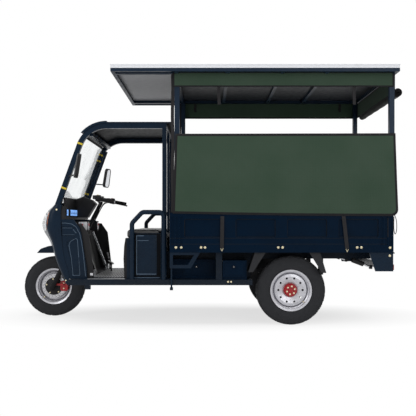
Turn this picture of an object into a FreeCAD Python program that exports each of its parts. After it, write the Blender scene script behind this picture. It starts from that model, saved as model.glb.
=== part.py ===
# Cargo auto rickshaw: an electric three-wheeler with an open cab, a load bed
# and a canopy with green canvas sides.
# Lengths are in millimetres and +Z is up. The front points along -X and the left side along -Y.
# The origin is on the ground, in the middle of the length and on the centre line.

import FreeCAD, Part
import math
import os
import Sketcher

doc = FreeCAD.newDocument("cargo_rickshaw")
sheet = doc.addObject("Spreadsheet::Sheet", "sizes")

# Places named front, rear, start or end are distances behind the front wheel's centre.
# Places named half are distances from the centre line, and levels are heights above the ground.
SIZES = {
    "General fits": {
        "seat_gap": 0.3,
        "shaft_clearance": 0.05,
        "moving_gap": 6,
        "overrun": 20,
    },
    "Wheels": {
        "front_tyre_radius": 268,
        "front_tyre_width": 122,
        "front_rim_radius": 161,
        "rear_tyre_radius": 285,
        "rear_tyre_width": 145,
        "rear_rim_radius": 170,
        "rim_wall": 4,
        "bead_depth": 12,
        "tread_wall": 16,
        "wheelbase": 2065,
        "steering_gap": 16,
        "rear_track": 907,
        "rear_hub_radius": 55,
        "rear_hub_length": 46,
        "rear_spindle_radius": 20,
        "front_hub_radius": 61,
        "front_hub_length": 100,
        "front_spindle_radius": 9,
        "caliper_arm_wall": 18,
        "brake_disc_radius": 105,
        "brake_disc_wall": 5,
        "brake_disc_half": 48,
        "stud_circle": 66,
        "stud_radius": 8,
        "stud_length": 9,
        "stud_count": 5,
        "slot_circle": 100,
        "slot_radius": 9,
        "slot_count": 10,
    },
    "Steering": {
        "rake": 27,
        "fork_offset": 27.6,
        "fork_half": 92,
        "fork_leg_radius": 22,
        "fork_tube_radius": 16,
        "fork_leg_top": 260,
        "fork_leg_drop": 28,
        "lower_clamp_level": 358,
        "clamp_thickness": 22,
        "clamp_depth": 58,
        "head_tube_start": 384,
        "head_tube_length": 146,
        "head_tube_radius": 27,
        "steerer_radius": 15,
        "upper_clamp_level": 534,
        "column_radius": 17,
        "column_top": 868,
        "bar_radius": 11,
        "bar_clamp_width": 88,
        "bar_clamp_radius": 22,
        "bar_plane_tilt": 10.7,
        "bar_middle_level": 1049,
        "bar_middle_start": 418,
        "bar_half": 365,
        "bar_reach": 170,
        "bar_bend_reach": 60,
        "bar_centre_half": 110,
        "bar_bend": 35,
        "grip_radius": 17,
        "grip_length": 108,
        "switch_radius": 23,
        "switch_length": 40,
        "guard_gap": 20,
        "mudguard_wall": 3,
        "mudguard_half": 74,
        "mudguard_reach": 146,
        "mudguard_length": 336,
        "mudguard_level": 568,
        "mudguard_height": 64,
        "mudguard_bend": 110,
        "caliper_front": 60,
        "caliper_length": 66,
        "caliper_height": 92,
        "caliper_width": 34,
    },
    "Floor frame": {
        "floor_level": 381,
        "floor_thickness": 4,
        "beam_height": 44,
        "beam_width": 44,
        "beam_half": 560,
        "beam_front": 242,
        "beam_end_gap": 320,
        "front_cross_start": 330,
        "cross_width": 50,
        "floor_front": 386,
        "down_tube_width": 50,
        "peg_start": 385,
        "peg_length": 45,
        "peg_drop": 34,
        "peg_width": 26,
    },
    "Cab hoops": {
        "hoop_half": 472,
        "hoop_wall": 35,
        "pillar_wall": 42,
        "pillar_lean": 20,
        "pillar_foot_start": 142,
        "cowl_level": 990,
        "hoop_bend": 240,
        "roof_rail_level": 1641,
        "cab_post_start": 1007,
        "centre_post_width": 22,
        "header_bar_start": 394,
        "header_bar_level": 1561,
        "header_bar_size": 32,
        "cab_roof_wall": 10,
        "cab_roof_half": 478,
        "cab_roof_rear": 1079,
        "cab_roof_front_level": 1584,
        "visor_wall": 9,
        "visor_rear": 548,
        "windscreen_wall": 5,
        "windscreen_top_level": 1572,
    },
    "Nose": {
        "nose_front": -72,
        "nose_depth": 250,
        "nose_bottom": 334,
        "nose_wall": 4,
        "arch_half": 290,
        "arch_level": 655,
        "arch_round": 90,
        "lamp_bottom": 766,
        "lamp_top": 941,
        "lamp_rear_top": 45,
        "lamp_rear_bottom": 12,
        "lamp_inner_half": 170,
        "lamp_depth": 40,
    },
    "Leg shields": {
        "shield_front": 158,
        "shield_length": 228,
        "shield_height": 490.4,
        "shield_wall": 16,
        "shield_relief": 5,
    },
    "Inner panel": {
        "panel_half": 451.4,
        "panel_wall": 7,
        "panel_top": 832,
        "panel_face_top": 244,
        "panel_face_bottom": 330,
        "panel_wing_top": 335,
        "panel_wing_middle": 397,
        "panel_wing_level": 743,
        "panel_wing_low_level": 404,
        "panel_wing_bottom": 437,
        "panel_opening_half": 138,
        "panel_opening_bottom": 645,
        "panel_slot_half": 32,
    },
    "Dashboard": {
        "dash_low_depth": 36,
        "dash_rear": 201,
        "dash_bottom": 868,
        "dash_top": 1050,
        "dash_front": 125,
        "dash_step": 184,
        "pod_half": 46,
        "pod_bottom": 885,
        "pod_length": 174,
        "pod_height": 187,
        "display_wall": 6,
        "display_bottom": 903,
        "display_height": 45,
        "small_display_half": 432,
        "small_display_width": 62,
        "large_display_half": 306,
        "large_display_width": 404,
        "stay_radius": 12,
        "stay_top_start": 294,
        "stay_top_half": 216,
        "stay_top_level": 752,
        "stay_foot_start": 392,
        "stay_foot_half": 335,
        "stay_foot_level": 430,
        "foot_block": 34,
        "switch_box_front": 250,
        "switch_box_length": 94,
        "switch_box_width": 70,
        "switch_box_bottom": 767,
        "switch_box_height": 87,
    },
    "Mirrors": {
        "mirror_half": 672,
        "mirror_start": 337,
        "mirror_width": 92,
        "mirror_depth": 28,
        "mirror_bottom": 1196,
        "mirror_height": 194,
        "mirror_round": 34,
        "mirror_yaw": 20,
        "mirror_lean": 9,
        "mirror_taper": 0.8,
        "mirror_arm_radius": 6,
        "mirror_arm_start": 236,
        "mirror_arm_level": 1222,
        "glass_wall": 3,
        "glass_border": 8,
    },
    "Seat": {
        "seat_box_front": 720,
        "seat_box_rear": 1000,
        "seat_side_wall": 6,
        "seat_side_gap": 1,
        "seat_side_front": 745,
        "seat_side_top": 755,
        "seat_box_top": 714,
        "seat_box_wall": 20,
        "cushion_front": 704,
        "cushion_rear": 1002,
        "cushion_thickness": 72,
        "cover_inset": 14,
        "cover_bulge": 29,
        "guard_tube_radius": 19,
        "guard_half": 542,
        "guard_front": 766,
        "guard_rear": 1024,
        "guard_corner_level": 836,
        "guard_top_start": 850,
        "guard_top_level": 926,
        "guard_bend": 40,
    },
    "Load bed": {
        "bed_front": 1077,
        "bed_length": 1800,
        "bed_half": 600,
        "bed_bottom": 600,
        "bed_height": 318,
        "bed_wall": 30,
        "bed_floor_level": 640,
        "bed_floor_wall": 4,
        "recess_depth": 10,
        "recess_bottom": 723,
        "recess_top": 870,
        "recess_width": 320,
        "recess_pitch": 414,
        "recess_start": 117,
        "recess_count": 4,
        "recess_round": 12,
        "rib_width": 14,
        "rib_count": 3,
        "corner_width": 117,
        "gate_gap": 6,
        "gate_hinge_radius": 10,
        "gate_hinge_length": 90,
        "gate_hinge_half": 420,
        "gate_lug_width": 12,
        "gate_lug_radius": 8.5,
        "sill_wall": 10,
    },
    "Bed frame": {
        "rail_half": 330,
        "rail_width": 44,
        "rail_bottom": 534,
        "rail_front": 1077,
        "rail_rear": 2840,
        "bearer_width": 50,
        "bearer_pitch": 342,
        "bearer_count": 5,
        "front_battery_half": 400,
        "rear_battery_half": 545,
        "battery_wall": 6,
        "battery_sill": 22,
        "battery_door_wall": 8,
        "battery_door_border": 8,
        "lock_radius": 12,
        "lock_length": 10,
        "lock_level": 480,
        "step_half": 594,
        "step_wall": 26,
        "step_length": 244,
        "step_foot_length": 170,
        "step_bottom": 473,
        "step_window_start": 25,
        "step_window_length": 171,
        "step_window_bottom": 500,
        "step_window_top": 580,
        "screw_radius": 7,
        "screw_bottom": 318,
        "screw_knob_radius": 13,
        "screw_knob_height": 22,
        "leg_length": 50,
    },
    "Rear running gear": {
        "axle_tube_radius": 36,
        "axle_tube_half": 366,
        "brake_plate_radius": 108,
        "brake_plate_wall": 6,
        "motor_radius": 120,
        "motor_half": 105,
        "spring_half": 300,
        "spring_width": 60,
        "spring_wall": 30,
        "spring_reach": 300,
        "spring_rise": 78,
        "hanger_width": 34,
        "guard_plate_half": 575,
        "guard_plate_width": 170,
        "guard_plate_wall": 4,
        "front_guard_top": 301,
        "front_guard_length": 88,
        "front_guard_foot": 353,
        "front_guard_foot_length": 37,
        "front_guard_bottom": 440,
        "rear_guard_top": 139,
        "rear_guard_length": 88,
        "rear_guard_foot": 242,
        "rear_guard_foot_length": 35,
        "rear_guard_bottom": 434,
        "bumper_half": 592,
        "bumper_wall": 12,
        "bumper_top_start": 2684,
        "bumper_foot_start": 2734,
        "bumper_bottom": 448,
        "bumper_bar_height": 57,
        "bumper_bar_wall": 30,
        "tail_lamp_half": 470,
        "tail_lamp_width": 120,
        "tail_lamp_height": 44,
        "tail_lamp_depth": 26,
    },
    "Canopy": {
        "post_size": 40,
        "front_post_start": 1116,
        "rear_post_start": 2845,
        "canopy_frame_level": 2038,
        "canopy_frame_height": 25,
        "roof_front": 613,
        "roof_length": 2289,
        "roof_half": 682,
        "roof_thickness": 30,
        "roof_edge_round": 8,
        "edge_rail_width": 30,
        "cross_bar_width": 30,
        "second_bar_start": 1528,
        "third_bar_start": 1968,
        "fourth_bar_start": 2323,
        "side_rail_level": 1532,
        "side_rail_size": 24,
        "canvas_wall": 12,
        "canvas_front": 1098,
        "canvas_rear": 2905,
        "canvas_top": 1560,
        "canvas_bottom": 892,
        "canvas_round": 40,
        "valance_wall": 8,
        "valance_front": 1100,
        "valance_rear": 2882,
        "valance_bottom": 1928,
        "valance_rear_bottom": 1886,
        "roll_centre": 2930,
        "roll_radius": 37,
        "roll_level": 1900,
        "roll_half": 552,
    },
    "Straps": {
        "strap_wall": 3,
        "strap_width": 28,
        "post_strap_start": 1087,
        "first_tie_start": 1484,
        "second_tie_start": 2460,
        "tie_width": 30,
        "tie_bottom": 624,
        "hook_height": 16,
        "roll_loop_half": 400,
        "inner_strap_front": 1470,
        "inner_strap_rear": 2577,
        "inner_strap_bottom": 1803,
    },
    "Pedal": {
        "pedal_start": 470,
        "pedal_side": 200,
        "pedal_width": 70,
        "pedal_length": 46,
        "pedal_rise": 70,
        "pedal_wall": 10,
    },
}


# Sizes that know their formula


class Size:
    """A length, angle or ratio together with the formula that ties it to the sheet."""

    def __init__(self, value, formula):
        self.value = value
        self.formula = formula

    def __add__(self, other):
        other = sized(other)
        return Size(self.value + other.value, f"({self.formula} + {other.formula})")

    def __sub__(self, other):
        other = sized(other)
        return Size(self.value - other.value, f"({self.formula} - {other.formula})")

    def __mul__(self, other):
        other = sized(other)
        return Size(self.value * other.value, f"({self.formula} * {other.formula})")

    def __truediv__(self, other):
        other = sized(other)
        return Size(self.value / other.value, f"({self.formula} / {other.formula})")

    def __neg__(self):
        return Size(-self.value, f"(0 - {self.formula})")

    __radd__ = __add__
    __rmul__ = __mul__


def sized(number):
    """The same value as a Size, so that plain ratios and zero can join a sum."""
    if isinstance(number, Size):
        return number
    return Size(float(number), str(number))


def sine(angle):
    return Size(math.sin(math.radians(angle.value)), f"sin({angle.formula})")


def cosine(angle):
    return Size(math.cos(math.radians(angle.value)), f"cos({angle.formula})")


def tangent(angle):
    return Size(math.tan(math.radians(angle.value)), f"tan({angle.formula})")


class Named:
    """Looks a size up in the sheet by its name."""

    def __getattr__(self, alias):
        return Size(float(sheet.get(alias)), f"sizes.{alias}")


def fill_sheet():
    row = 1
    for heading, values in SIZES.items():
        sheet.set(f"A{row}", heading)
        row += 1
        for alias, number in values.items():
            sheet.set(f"A{row}", alias)
            sheet.set(f"B{row}", str(number))
            sheet.setAlias(f"B{row}", alias)
            row += 1
    doc.recompute()


fill_sheet()
S = Named()
kept = {}


# Placing and binding


def tie(item, path, size):
    """Binds one property to the sheet, or sets it where the value is a plain zero or ratio."""
    item.setExpression(path, sized(size).formula)


def place(item, corner, axis=None, angle=0):
    """Puts an item at a corner, turned about an axis."""
    if axis is not None:
        item.Placement.Rotation = FreeCAD.Rotation(FreeCAD.Vector(*axis), sized(angle).value)
        tie(item, ".Placement.Rotation.Angle", angle)
    for letter, length in zip("xyz", corner):
        tie(item, f".Placement.Base.{letter}", length)
    return item


def keep(label, item):
    """Marks an item as a sub-part of its own."""
    item.Label = label
    kept[label] = item
    return item


def box(x, y, z, name="block"):
    """A block between two places on each axis."""
    block = doc.addObject("Part::Box", name)
    for side, (low, high) in zip(("Length", "Width", "Height"), (x, y, z)):
        tie(block, side, sized(high) - low)
    return place(block, (x[0], y[0], z[0]))


TURNS = {"X": ((0, 1, 0), 90), "Y": ((1, 0, 0), -90), "Z": (None, 0)}


def rod(start, radius, length, axis="Z", name="rod"):
    """A round bar along a row axis, from its low end."""
    bar = doc.addObject("Part::Cylinder", name)
    tie(bar, "Radius", radius)
    tie(bar, "Height", length)
    turn_axis, angle = TURNS[axis]
    if turn_axis is None:
        return place(bar, start)
    bar.Placement.Rotation = FreeCAD.Rotation(FreeCAD.Vector(*turn_axis), angle)
    return place(bar, start)


def fuse(items, name="joined"):
    joined = doc.addObject("Part::MultiFuse", name)
    joined.Shapes = items
    joined.Refine = True
    return joined


def cut(base, tool, name="cut"):
    result = doc.addObject("Part::Cut", name)
    result.Base = base
    result.Tool = tool
    return result


def common(items, name="shared"):
    result = doc.addObject("Part::MultiCommon", name)
    result.Shapes = items
    return result


def group(items, name="pair"):
    pair = doc.addObject("Part::Compound", name)
    pair.Links = items
    return pair


# Sketches and features


def sketch_on(body, plane, level=0):
    """An empty sketch on one of the body's own origin planes, moved along its normal."""
    sketch = body.newObject("Sketcher::SketchObject", "sketch")
    support = next(f for f in body.Origin.OriginFeatures if f.Role == plane)
    sketch.AttachmentSupport = [(support, "")]
    sketch.MapMode = "FlatFace"
    along = -sized(level) if plane == "XZ_Plane" else sized(level)
    tie(sketch, ".AttachmentOffset.Base.z", along)
    return sketch


def hold_point(sketch, geometry, position, place_at, rules):
    """Collects the rules that hold a sketch point at its place."""
    for kind, size, axis in (("DistanceX", place_at[0], -2), ("DistanceY", place_at[1], -1)):
        if size.formula in ("0", "0.0"):
            rules.append((Sketcher.Constraint("PointOnObject", geometry, position, axis), None))
        else:
            rule = Sketcher.Constraint(kind, -1, 1, geometry, position, size.value)
            rules.append((rule, size.formula))


def apply_rules(sketch, rules):
    first = sketch.ConstraintCount
    sketch.addConstraint([rule for rule, formula in rules])
    for number, (rule, formula) in enumerate(rules, first):
        if formula is not None:
            sketch.setExpression(f"Constraints[{number}]", formula)


def rounding(before, corner, after, radius):
    """Where a rounded corner starts and ends, its centre, and whether it turns left."""
    towards_before = (before - corner).normalize()
    towards_after = (after - corner).normalize()
    half = towards_before.getAngle(towards_after) / 2
    run = radius / math.tan(half)
    middle = (towards_before + towards_after).normalize()
    centre = corner + middle * (radius / math.sin(half))
    left = towards_before.cross(towards_after).z < 0
    return corner + towards_before * run, corner + towards_after * run, centre, left


def draw(sketch, points, closed=True):
    """Lines through the points, with an arc at each point that has a radius."""
    places = [tuple(sized(value) for value in point) for point in points]
    corners = [FreeCAD.Vector(point[0].value, point[1].value, 0) for point in places]
    count = len(places)
    ends = []
    for number, point in enumerate(places):
        inside = closed or 0 < number < count - 1
        if len(point) == 3 and inside:
            after = corners[(number + 1) % count]
            ends.append(rounding(corners[number - 1], corners[number], after, point[2].value))
        else:
            ends.append((corners[number], corners[number], None, None))
    rules = []
    lines = []
    for number in range(count if closed else count - 1):
        line = Part.LineSegment(ends[number][1], ends[(number + 1) % count][0])
        lines.append(sketch.addGeometry(line))
    for number, point in enumerate(places):
        into = lines[number - 1] if closed or number > 0 else None
        out = lines[number] if number < len(lines) else None
        start, end, centre, left = ends[number]
        if centre is None:
            if into is not None and out is not None:
                rules.append((Sketcher.Constraint("Coincident", into, 2, out, 1), None))
            held, position = (out, 1) if out is not None else (into, 2)
            hold_point(sketch, held, position, point, rules)
            continue
        first, last = (start, end) if left else (end, start)
        angles = [math.atan2(spot.y - centre.y, spot.x - centre.x) for spot in (first, last)]
        circle = Part.Circle(centre, FreeCAD.Vector(0, 0, 1), point[2].value)
        arc = sketch.addGeometry(Part.ArcOfCircle(circle, angles[0], angles[1]))
        corner = sketch.addGeometry(Part.Point(corners[number]), True)
        rules.append((Sketcher.Constraint("Tangent", into, 2, arc, 1 if left else 2), None))
        rules.append((Sketcher.Constraint("Tangent", arc, 2 if left else 1, out, 1), None))
        rules.append((Sketcher.Constraint("Radius", arc, point[2].value), point[2].formula))
        rules.append((Sketcher.Constraint("PointOnObject", corner, 1, into), None))
        rules.append((Sketcher.Constraint("PointOnObject", corner, 1, out), None))
        hold_point(sketch, corner, 1, point, rules)
    apply_rules(sketch, rules)
    return sketch


def draw_circle(sketch, centre, radius):
    places = [sized(value) for value in centre]
    middle = FreeCAD.Vector(places[0].value, places[1].value, 0)
    circle = Part.Circle(middle, FreeCAD.Vector(0, 0, 1), radius.value)
    geometry = sketch.addGeometry(circle)
    rules = [(Sketcher.Constraint("Radius", geometry, radius.value), radius.formula)]
    hold_point(sketch, geometry, 3, places, rules)
    apply_rules(sketch, rules)
    return sketch


def new_body(name="piece"):
    return doc.addObject("PartDesign::Body", name)


def add_pad(body, plane, points, low, high):
    """Pads an outline between two places along the plane's normal."""
    level = high if plane == "XZ_Plane" else low
    sketch = draw(sketch_on(body, plane, level), points)
    pad = body.newObject("PartDesign::Pad", "pad")
    pad.Profile = sketch
    tie(pad, "Length", sized(high) - low)
    return pad


def add_pocket(body, plane, points, low, high):
    """Cuts an outline out between two places along the plane's normal."""
    level = low if plane == "XZ_Plane" else high
    sketch = draw(sketch_on(body, plane, level), points)
    pocket = body.newObject("PartDesign::Pocket", "pocket")
    pocket.Profile = sketch
    tie(pocket, "Length", sized(high) - low)
    return pocket


def slab(plane, points, low, high, name="slab"):
    body = new_body(name)
    add_pad(body, plane, points, low, high)
    return body


def turned(profiles, centre, name="turned", plane="XY_Plane", axis="V_Axis"):
    """Profiles of (radius, place along the axis) turned about the body's own axis."""
    body = new_body(name)
    for profile in profiles:
        sketch = draw(sketch_on(body, plane), profile)
        revolution = body.newObject("PartDesign::Revolution", "turn")
        revolution.Profile = sketch
        revolution.ReferenceAxis = (sketch, [axis])
        revolution.Angle = 360
    return place(body, centre)


def bent_bar(plane, level, path, profile_plane, profile_level, draw_profile, name="bar"):
    """A bar swept along a flat path that starts square to the profile's plane."""
    body = new_body(name)
    route = draw(sketch_on(body, plane, level), path, closed=False)
    profile = sketch_on(body, profile_plane, profile_level)
    draw_profile(profile)
    sweep = body.newObject("PartDesign::AdditivePipe", "sweep")
    sweep.Profile = profile
    sweep.Spine = (route, [])
    return body


def rectangle(low, high):
    """The four corners of an upright rectangle."""
    return [(low[0], low[1]), (high[0], low[1]), (high[0], high[1]), (low[0], high[1])]


def rounded_rectangle(low, high, radius):
    return [corner + (radius,) for corner in rectangle(low, high)]


def spread(shares, start, size):
    """Outline points from shares of a length and a height."""
    return [(start[0] + size[0] * along, start[1] + size[1] * up) for along, up in shares]


# Places that several pieces share

origin_shift = (S.roll_centre + S.roll_radius - S.front_tyre_radius) / 2


def behind(distance):
    """The X place of a distance behind the front wheel's centre."""
    return distance - origin_shift


SIDES = {"left": -1, "right": 1}
rear_axle_x = behind(S.wheelbase)
front_axle_x = behind(sized(0))
wheel_half = S.rear_track / 2
beam_top = S.floor_level - S.floor_thickness
beam_bottom = beam_top - S.beam_height
hoop_inner = S.hoop_half - S.hoop_wall
bed_top = S.bed_bottom + S.bed_height
bed_rear = S.bed_front + S.bed_length
bed_inner = S.bed_half - S.bed_wall
bearer_bottom = S.bed_bottom
rail_inner = S.rail_half - S.rail_width
panel_bottom = S.canopy_frame_level + S.canopy_frame_height
roof_rear = S.roof_front + S.roof_length
post_inner = S.bed_half - S.post_size
cloth_inner = S.bed_half + S.seat_gap
hinge_z = S.bed_bottom + S.gate_gap + S.gate_hinge_radius
hinge_x = behind(bed_rear) + S.gate_hinge_radius

beam_rear = S.wheelbase - S.beam_end_gap
seat_half = S.guard_half - S.guard_tube_radius - S.seat_side_gap
box_half = seat_half - S.seat_side_wall
bay_start = S.bed_front
bay_length = beam_rear - S.beam_width - S.bed_front

# Shares of the bay between the cab and the rear cross member, from its front
FRONT_BATTERY_SHARES = (0.005, 0.590)
FRONT_DOOR_SHARES = (0.159, 0.591)
REAR_BATTERY_SHARES = (0.682, 0.998)
REAR_DOOR_SHARES = (0.686, 0.980)
LEG_SHARE = 0.596

# The steering axis passes this point, square below the front wheel's centre
foot_x = front_axle_x + S.fork_offset * cosine(S.rake)
foot_z = S.front_tyre_radius - S.fork_offset * sine(S.rake)


def on_steering(item):
    """Leans an item that was made upright about its own origin onto the steering axis."""
    return place(item, (foot_x, 0, foot_z), (0, 1, 0), S.rake)


def across(side, low, high):
    """Two distances from the centre line as places on the left or the right, low first."""
    if SIDES[side] < 0:
        return (-sized(high), -sized(low))
    return (sized(low), sized(high))


# Wheels

TYRE_SHARES = (
    (0.00, -0.77), (0.11, -0.83), (0.20, -0.92), (0.45, -1.00), (0.74, -0.95), (0.93, -0.74),
    (1.00, -0.36), (1.00, 0.36), (0.93, 0.74), (0.74, 0.95), (0.45, 1.00), (0.20, 0.92),
    (0.11, 0.83), (0.00, 0.77), (0.00, 0.46), (0.15, 0.50), (0.45, 0.80), (0.72, 0.74),
    (0.87, 0.42), (0.87, -0.42), (0.72, -0.74), (0.45, -0.80), (0.15, -0.50), (0.00, -0.46),
)


def tyre(centre, radius, rim_radius, width):
    """A hollow tyre whose beads sit just inside the rim's flanges."""
    bead = rim_radius - S.bead_depth + S.seat_gap
    profile = spread(TYRE_SHARES, (bead, sized(0)), (radius - bead, width / 2))
    return turned([profile], centre, "tyre")


BARREL_SHARES = (-0.83, -0.77, -0.42, -0.28, 0.28, 0.42, 0.77, 0.83)


def barrel_profile(rim_radius, width):
    """The rim's barrel with its well and its two flanges."""
    seat = rim_radius - S.bead_depth
    well = seat - S.bead_depth
    heights = (rim_radius, seat, seat, well, well, seat, seat, rim_radius)
    half = width / 2
    outer = [(radius, half * share) for radius, share in zip(heights, BARREL_SHARES)]
    inner = [(radius - S.rim_wall, half * share) for radius, share in zip(heights, BARREL_SHARES)]
    first, last = inner[0], inner[-1]
    inner[0] = (rim_radius, first[1] - S.rim_wall)
    inner[-1] = (rim_radius, last[1] + S.rim_wall)
    return outer + inner[::-1]


DISC_SHARES = ((1.0, 0.10), (0.86, 0.40), (0.62, 0.46), (0.40, 0.22))


def disc_profile(side, well_radius, half, centre_radius):
    """The dished wheel disc between the barrel's well and the hub."""
    out = SIDES[side]
    outer = []
    inner = []
    for radius_share, depth_share in DISC_SHARES:
        radius = centre_radius + (well_radius - centre_radius) * radius_share
        if radius_share == DISC_SHARES[-1][0]:
            radius = centre_radius
        depth = half * depth_share * out
        outer.append((radius, depth))
        inner.append((radius, depth - S.rim_wall * out))
    return outer + inner[::-1]


def add_holes(body, level, circle, radius, count, depth):
    """Round holes through the wheel disc, evenly spaced about the axle."""
    sketch = sketch_on(body, "XZ_Plane", level)
    draw_circle(sketch, (circle, 0), radius)
    pocket = body.newObject("PartDesign::Pocket", "hole")
    pocket.Profile = sketch
    pocket.Midplane = True
    tie(pocket, "Length", depth)
    pattern = body.newObject("PartDesign::PolarPattern", "holes")
    pattern.Originals = [pocket]
    pattern.Axis = (sketch, ["N_Axis"])
    pattern.Angle = 360
    tie(pattern, "Occurrences", count)
    body.Tip = pattern
    return body


def rear_wheel(side):
    out = SIDES[side]
    centre = (rear_axle_x, wheel_half * out, S.rear_tyre_radius)
    half = S.rear_tyre_width / 2
    keep(f"rear_{side}_tyre", tyre(centre, S.rear_tyre_radius, S.rear_rim_radius, S.rear_tyre_width))
    barrel = barrel_profile(S.rear_rim_radius, S.rear_tyre_width)
    well = S.rear_rim_radius - S.bead_depth * 2
    disc = disc_profile(side, well - S.rim_wall / 2, half, S.rear_hub_radius + S.seat_gap)
    rim = turned([barrel, disc], centre, "rim")
    add_holes(rim, half * out / 2, S.slot_circle, S.slot_radius, S.slot_count, S.rear_tyre_width)
    keep(f"rear_{side}_rim", rim)
    bore = S.rear_spindle_radius + S.shaft_clearance
    low = -S.rear_hub_length * out
    high = S.rear_hub_length * out
    nose = S.rear_hub_radius * 0.8
    hub_outline = [(bore, low), (S.rear_hub_radius, low), (S.rear_hub_radius, high * 0.7), (nose, high), (bore, high)]
    keep(f"rear_{side}_hub", turned([hub_outline], centre, "hub"))


for side_name in SIDES:
    rear_wheel(side_name)


def front_wheel():
    centre = (front_axle_x, 0, S.front_tyre_radius)
    half = S.front_tyre_width / 2
    keep("front_tyre", tyre(centre, S.front_tyre_radius, S.front_rim_radius, S.front_tyre_width))
    barrel = barrel_profile(S.front_rim_radius, S.front_tyre_width)
    well = S.front_rim_radius - S.bead_depth * 2
    disc = disc_profile("right", well - S.rim_wall / 2, half / 2, S.front_hub_radius)
    bore = S.front_spindle_radius + S.shaft_clearance
    hub_half = S.front_hub_length / 2
    waist = S.front_hub_radius * 0.62
    hub = [(bore, -hub_half), (waist, -hub_half), (waist, -hub_half * 0.82)]
    hub.append((S.front_hub_radius, -hub_half * 0.5))
    hub += [(S.front_hub_radius + S.rim_wall, half * 0.2), (waist, hub_half), (bore, hub_half)]
    rim = turned([barrel, hub, disc], centre, "rim")
    keep("front_rim", rim)
    disc_low = -S.brake_disc_half
    disc_high = disc_low + S.brake_disc_wall
    ring = rectangle((waist + S.seat_gap, disc_low), (S.brake_disc_radius, disc_high))
    keep("brake_disc", turned([ring], centre, "brake_disc"))


front_wheel()


# Fork, steering column and handlebar


def fork():
    """Two legs, two clamps, the steerer inside the head tube and the column above it."""
    pieces = []
    depth = (-S.fork_offset - S.clamp_depth / 2, S.clamp_depth / 2)
    for level in (S.lower_clamp_level, S.upper_clamp_level):
        half = S.fork_half + S.fork_leg_radius
        outline = rounded_rectangle((depth[0], -half), (depth[1], half), S.fork_leg_radius)
        pieces.append(slab("XY_Plane", outline, level, level + S.clamp_thickness, "clamp"))
    tube_top = S.upper_clamp_level + S.clamp_thickness * 2
    for out in SIDES.values():
        foot = (-S.fork_offset, S.fork_half * out, -S.fork_leg_drop)
        leg_length = S.fork_leg_top + S.fork_leg_drop
        pieces.append(rod(foot, S.fork_leg_radius, leg_length, name="lower_leg"))
        top = (-S.fork_offset, S.fork_half * out, S.fork_leg_top)
        pieces.append(rod(top, S.fork_tube_radius, tube_top - S.fork_leg_top, name="upper_leg"))
    steerer_length = S.upper_clamp_level - S.lower_clamp_level
    steerer_start = S.lower_clamp_level
    pieces.append(rod((0, 0, steerer_start), S.steerer_radius, steerer_length, name="steerer"))
    column_length = S.column_top - S.upper_clamp_level
    pieces.append(rod((0, 0, S.upper_clamp_level), S.column_radius, column_length, name="column"))
    return on_steering(fuse(pieces, "fork"))


keep("fork", fork())


def front_axle():
    """The spindle between the fork's legs, with a wide collar at each end."""
    inner = S.fork_half - S.fork_leg_radius * 0.9
    length = inner * 2
    return rod((front_axle_x, -inner, S.front_tyre_radius), S.front_spindle_radius, length, "Y", "axle")


def front_axle_seated():
    """The spindle with the legs' round faces taken out of its ends."""
    return cut(front_axle(), kept["fork"], "front_axle")


keep("front_axle", front_axle_seated())


MUDGUARD_SHARES = ((0.00, 0.00), (0.10, 0.60), (0.32, 1.00), (0.61, 1.00), (1.00, 0.00))


def mudguard_outline(drop):
    """The cover's side outline with its beaked front, lowered by a drop."""
    start = (front_axle_x - S.mudguard_reach, S.mudguard_level - drop)
    outline = spread(MUDGUARD_SHARES, start, (S.mudguard_length, S.mudguard_height))
    bends = (S.mudguard_bend / 2, S.mudguard_bend, S.mudguard_bend)
    rounds = [point + (bend,) for point, bend in zip(outline[1:4], bends)]
    return [outline[0]] + rounds + [outline[4]]


def front_mudguard():
    """A hollow cover over the front tyre, on a stay below the lower clamp."""
    wall = S.mudguard_wall
    half = S.mudguard_half
    cover = slab("XZ_Plane", mudguard_outline(sized(0)), -half, half, "cover")
    add_pocket(cover, "XZ_Plane", mudguard_outline(wall), wall - half, half - wall)
    size = S.fork_offset
    low = S.lower_clamp_level - wall * 8
    stay = box((-size, 0), (-size, size), (low, S.lower_clamp_level - S.seat_gap), "stay")
    leaned = on_steering(group([stay], "leaned_stay"))
    return fuse([cover, leaned], "front_mudguard")


keep("front_mudguard", front_mudguard())


def brake_caliper():
    """A block with a slot for the disc, behind the left fork leg."""
    middle = -S.brake_disc_half + S.brake_disc_wall / 2
    low = middle - S.caliper_width / 2
    high = middle + S.caliper_width / 2
    start = front_axle_x + S.caliper_front
    level = S.front_tyre_radius - S.caliper_height * 0.45
    corners = ((start, level), (start + S.caliper_length, level + S.caliper_height))
    body = slab("XZ_Plane", rounded_rectangle(*corners, S.caliper_length / 4), low, high, "caliper")
    slot_half = S.brake_disc_wall / 2 + S.guard_gap / 10
    reach = S.brake_disc_radius + S.guard_gap / 4
    slot = rectangle((start - S.overrun, middle - slot_half), (front_axle_x + reach, middle + slot_half))
    top = level + S.caliper_height + S.overrun
    add_pocket(body, "XY_Plane", slot, level - S.overrun, top)
    arm_x = (front_axle_x, start + S.caliper_length / 2)
    arm_y = (low - S.caliper_arm_wall, low + S.caliper_arm_wall / 4)
    arm_level = S.front_tyre_radius + S.front_spindle_radius + S.seat_gap
    arm = box(arm_x, arm_y, (arm_level, arm_level + S.caliper_arm_wall), "caliper_arm")
    return cut(fuse([body, arm], "caliper_with_arm"), kept["fork"], "brake_caliper")


keep("brake_caliper", brake_caliper())


def bar_body(item):
    """Leans an item made flat onto the handlebar's plane."""
    return place(item, (behind(S.bar_middle_start), 0, S.bar_middle_level), (0, 1, 0), S.bar_plane_tilt)


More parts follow.
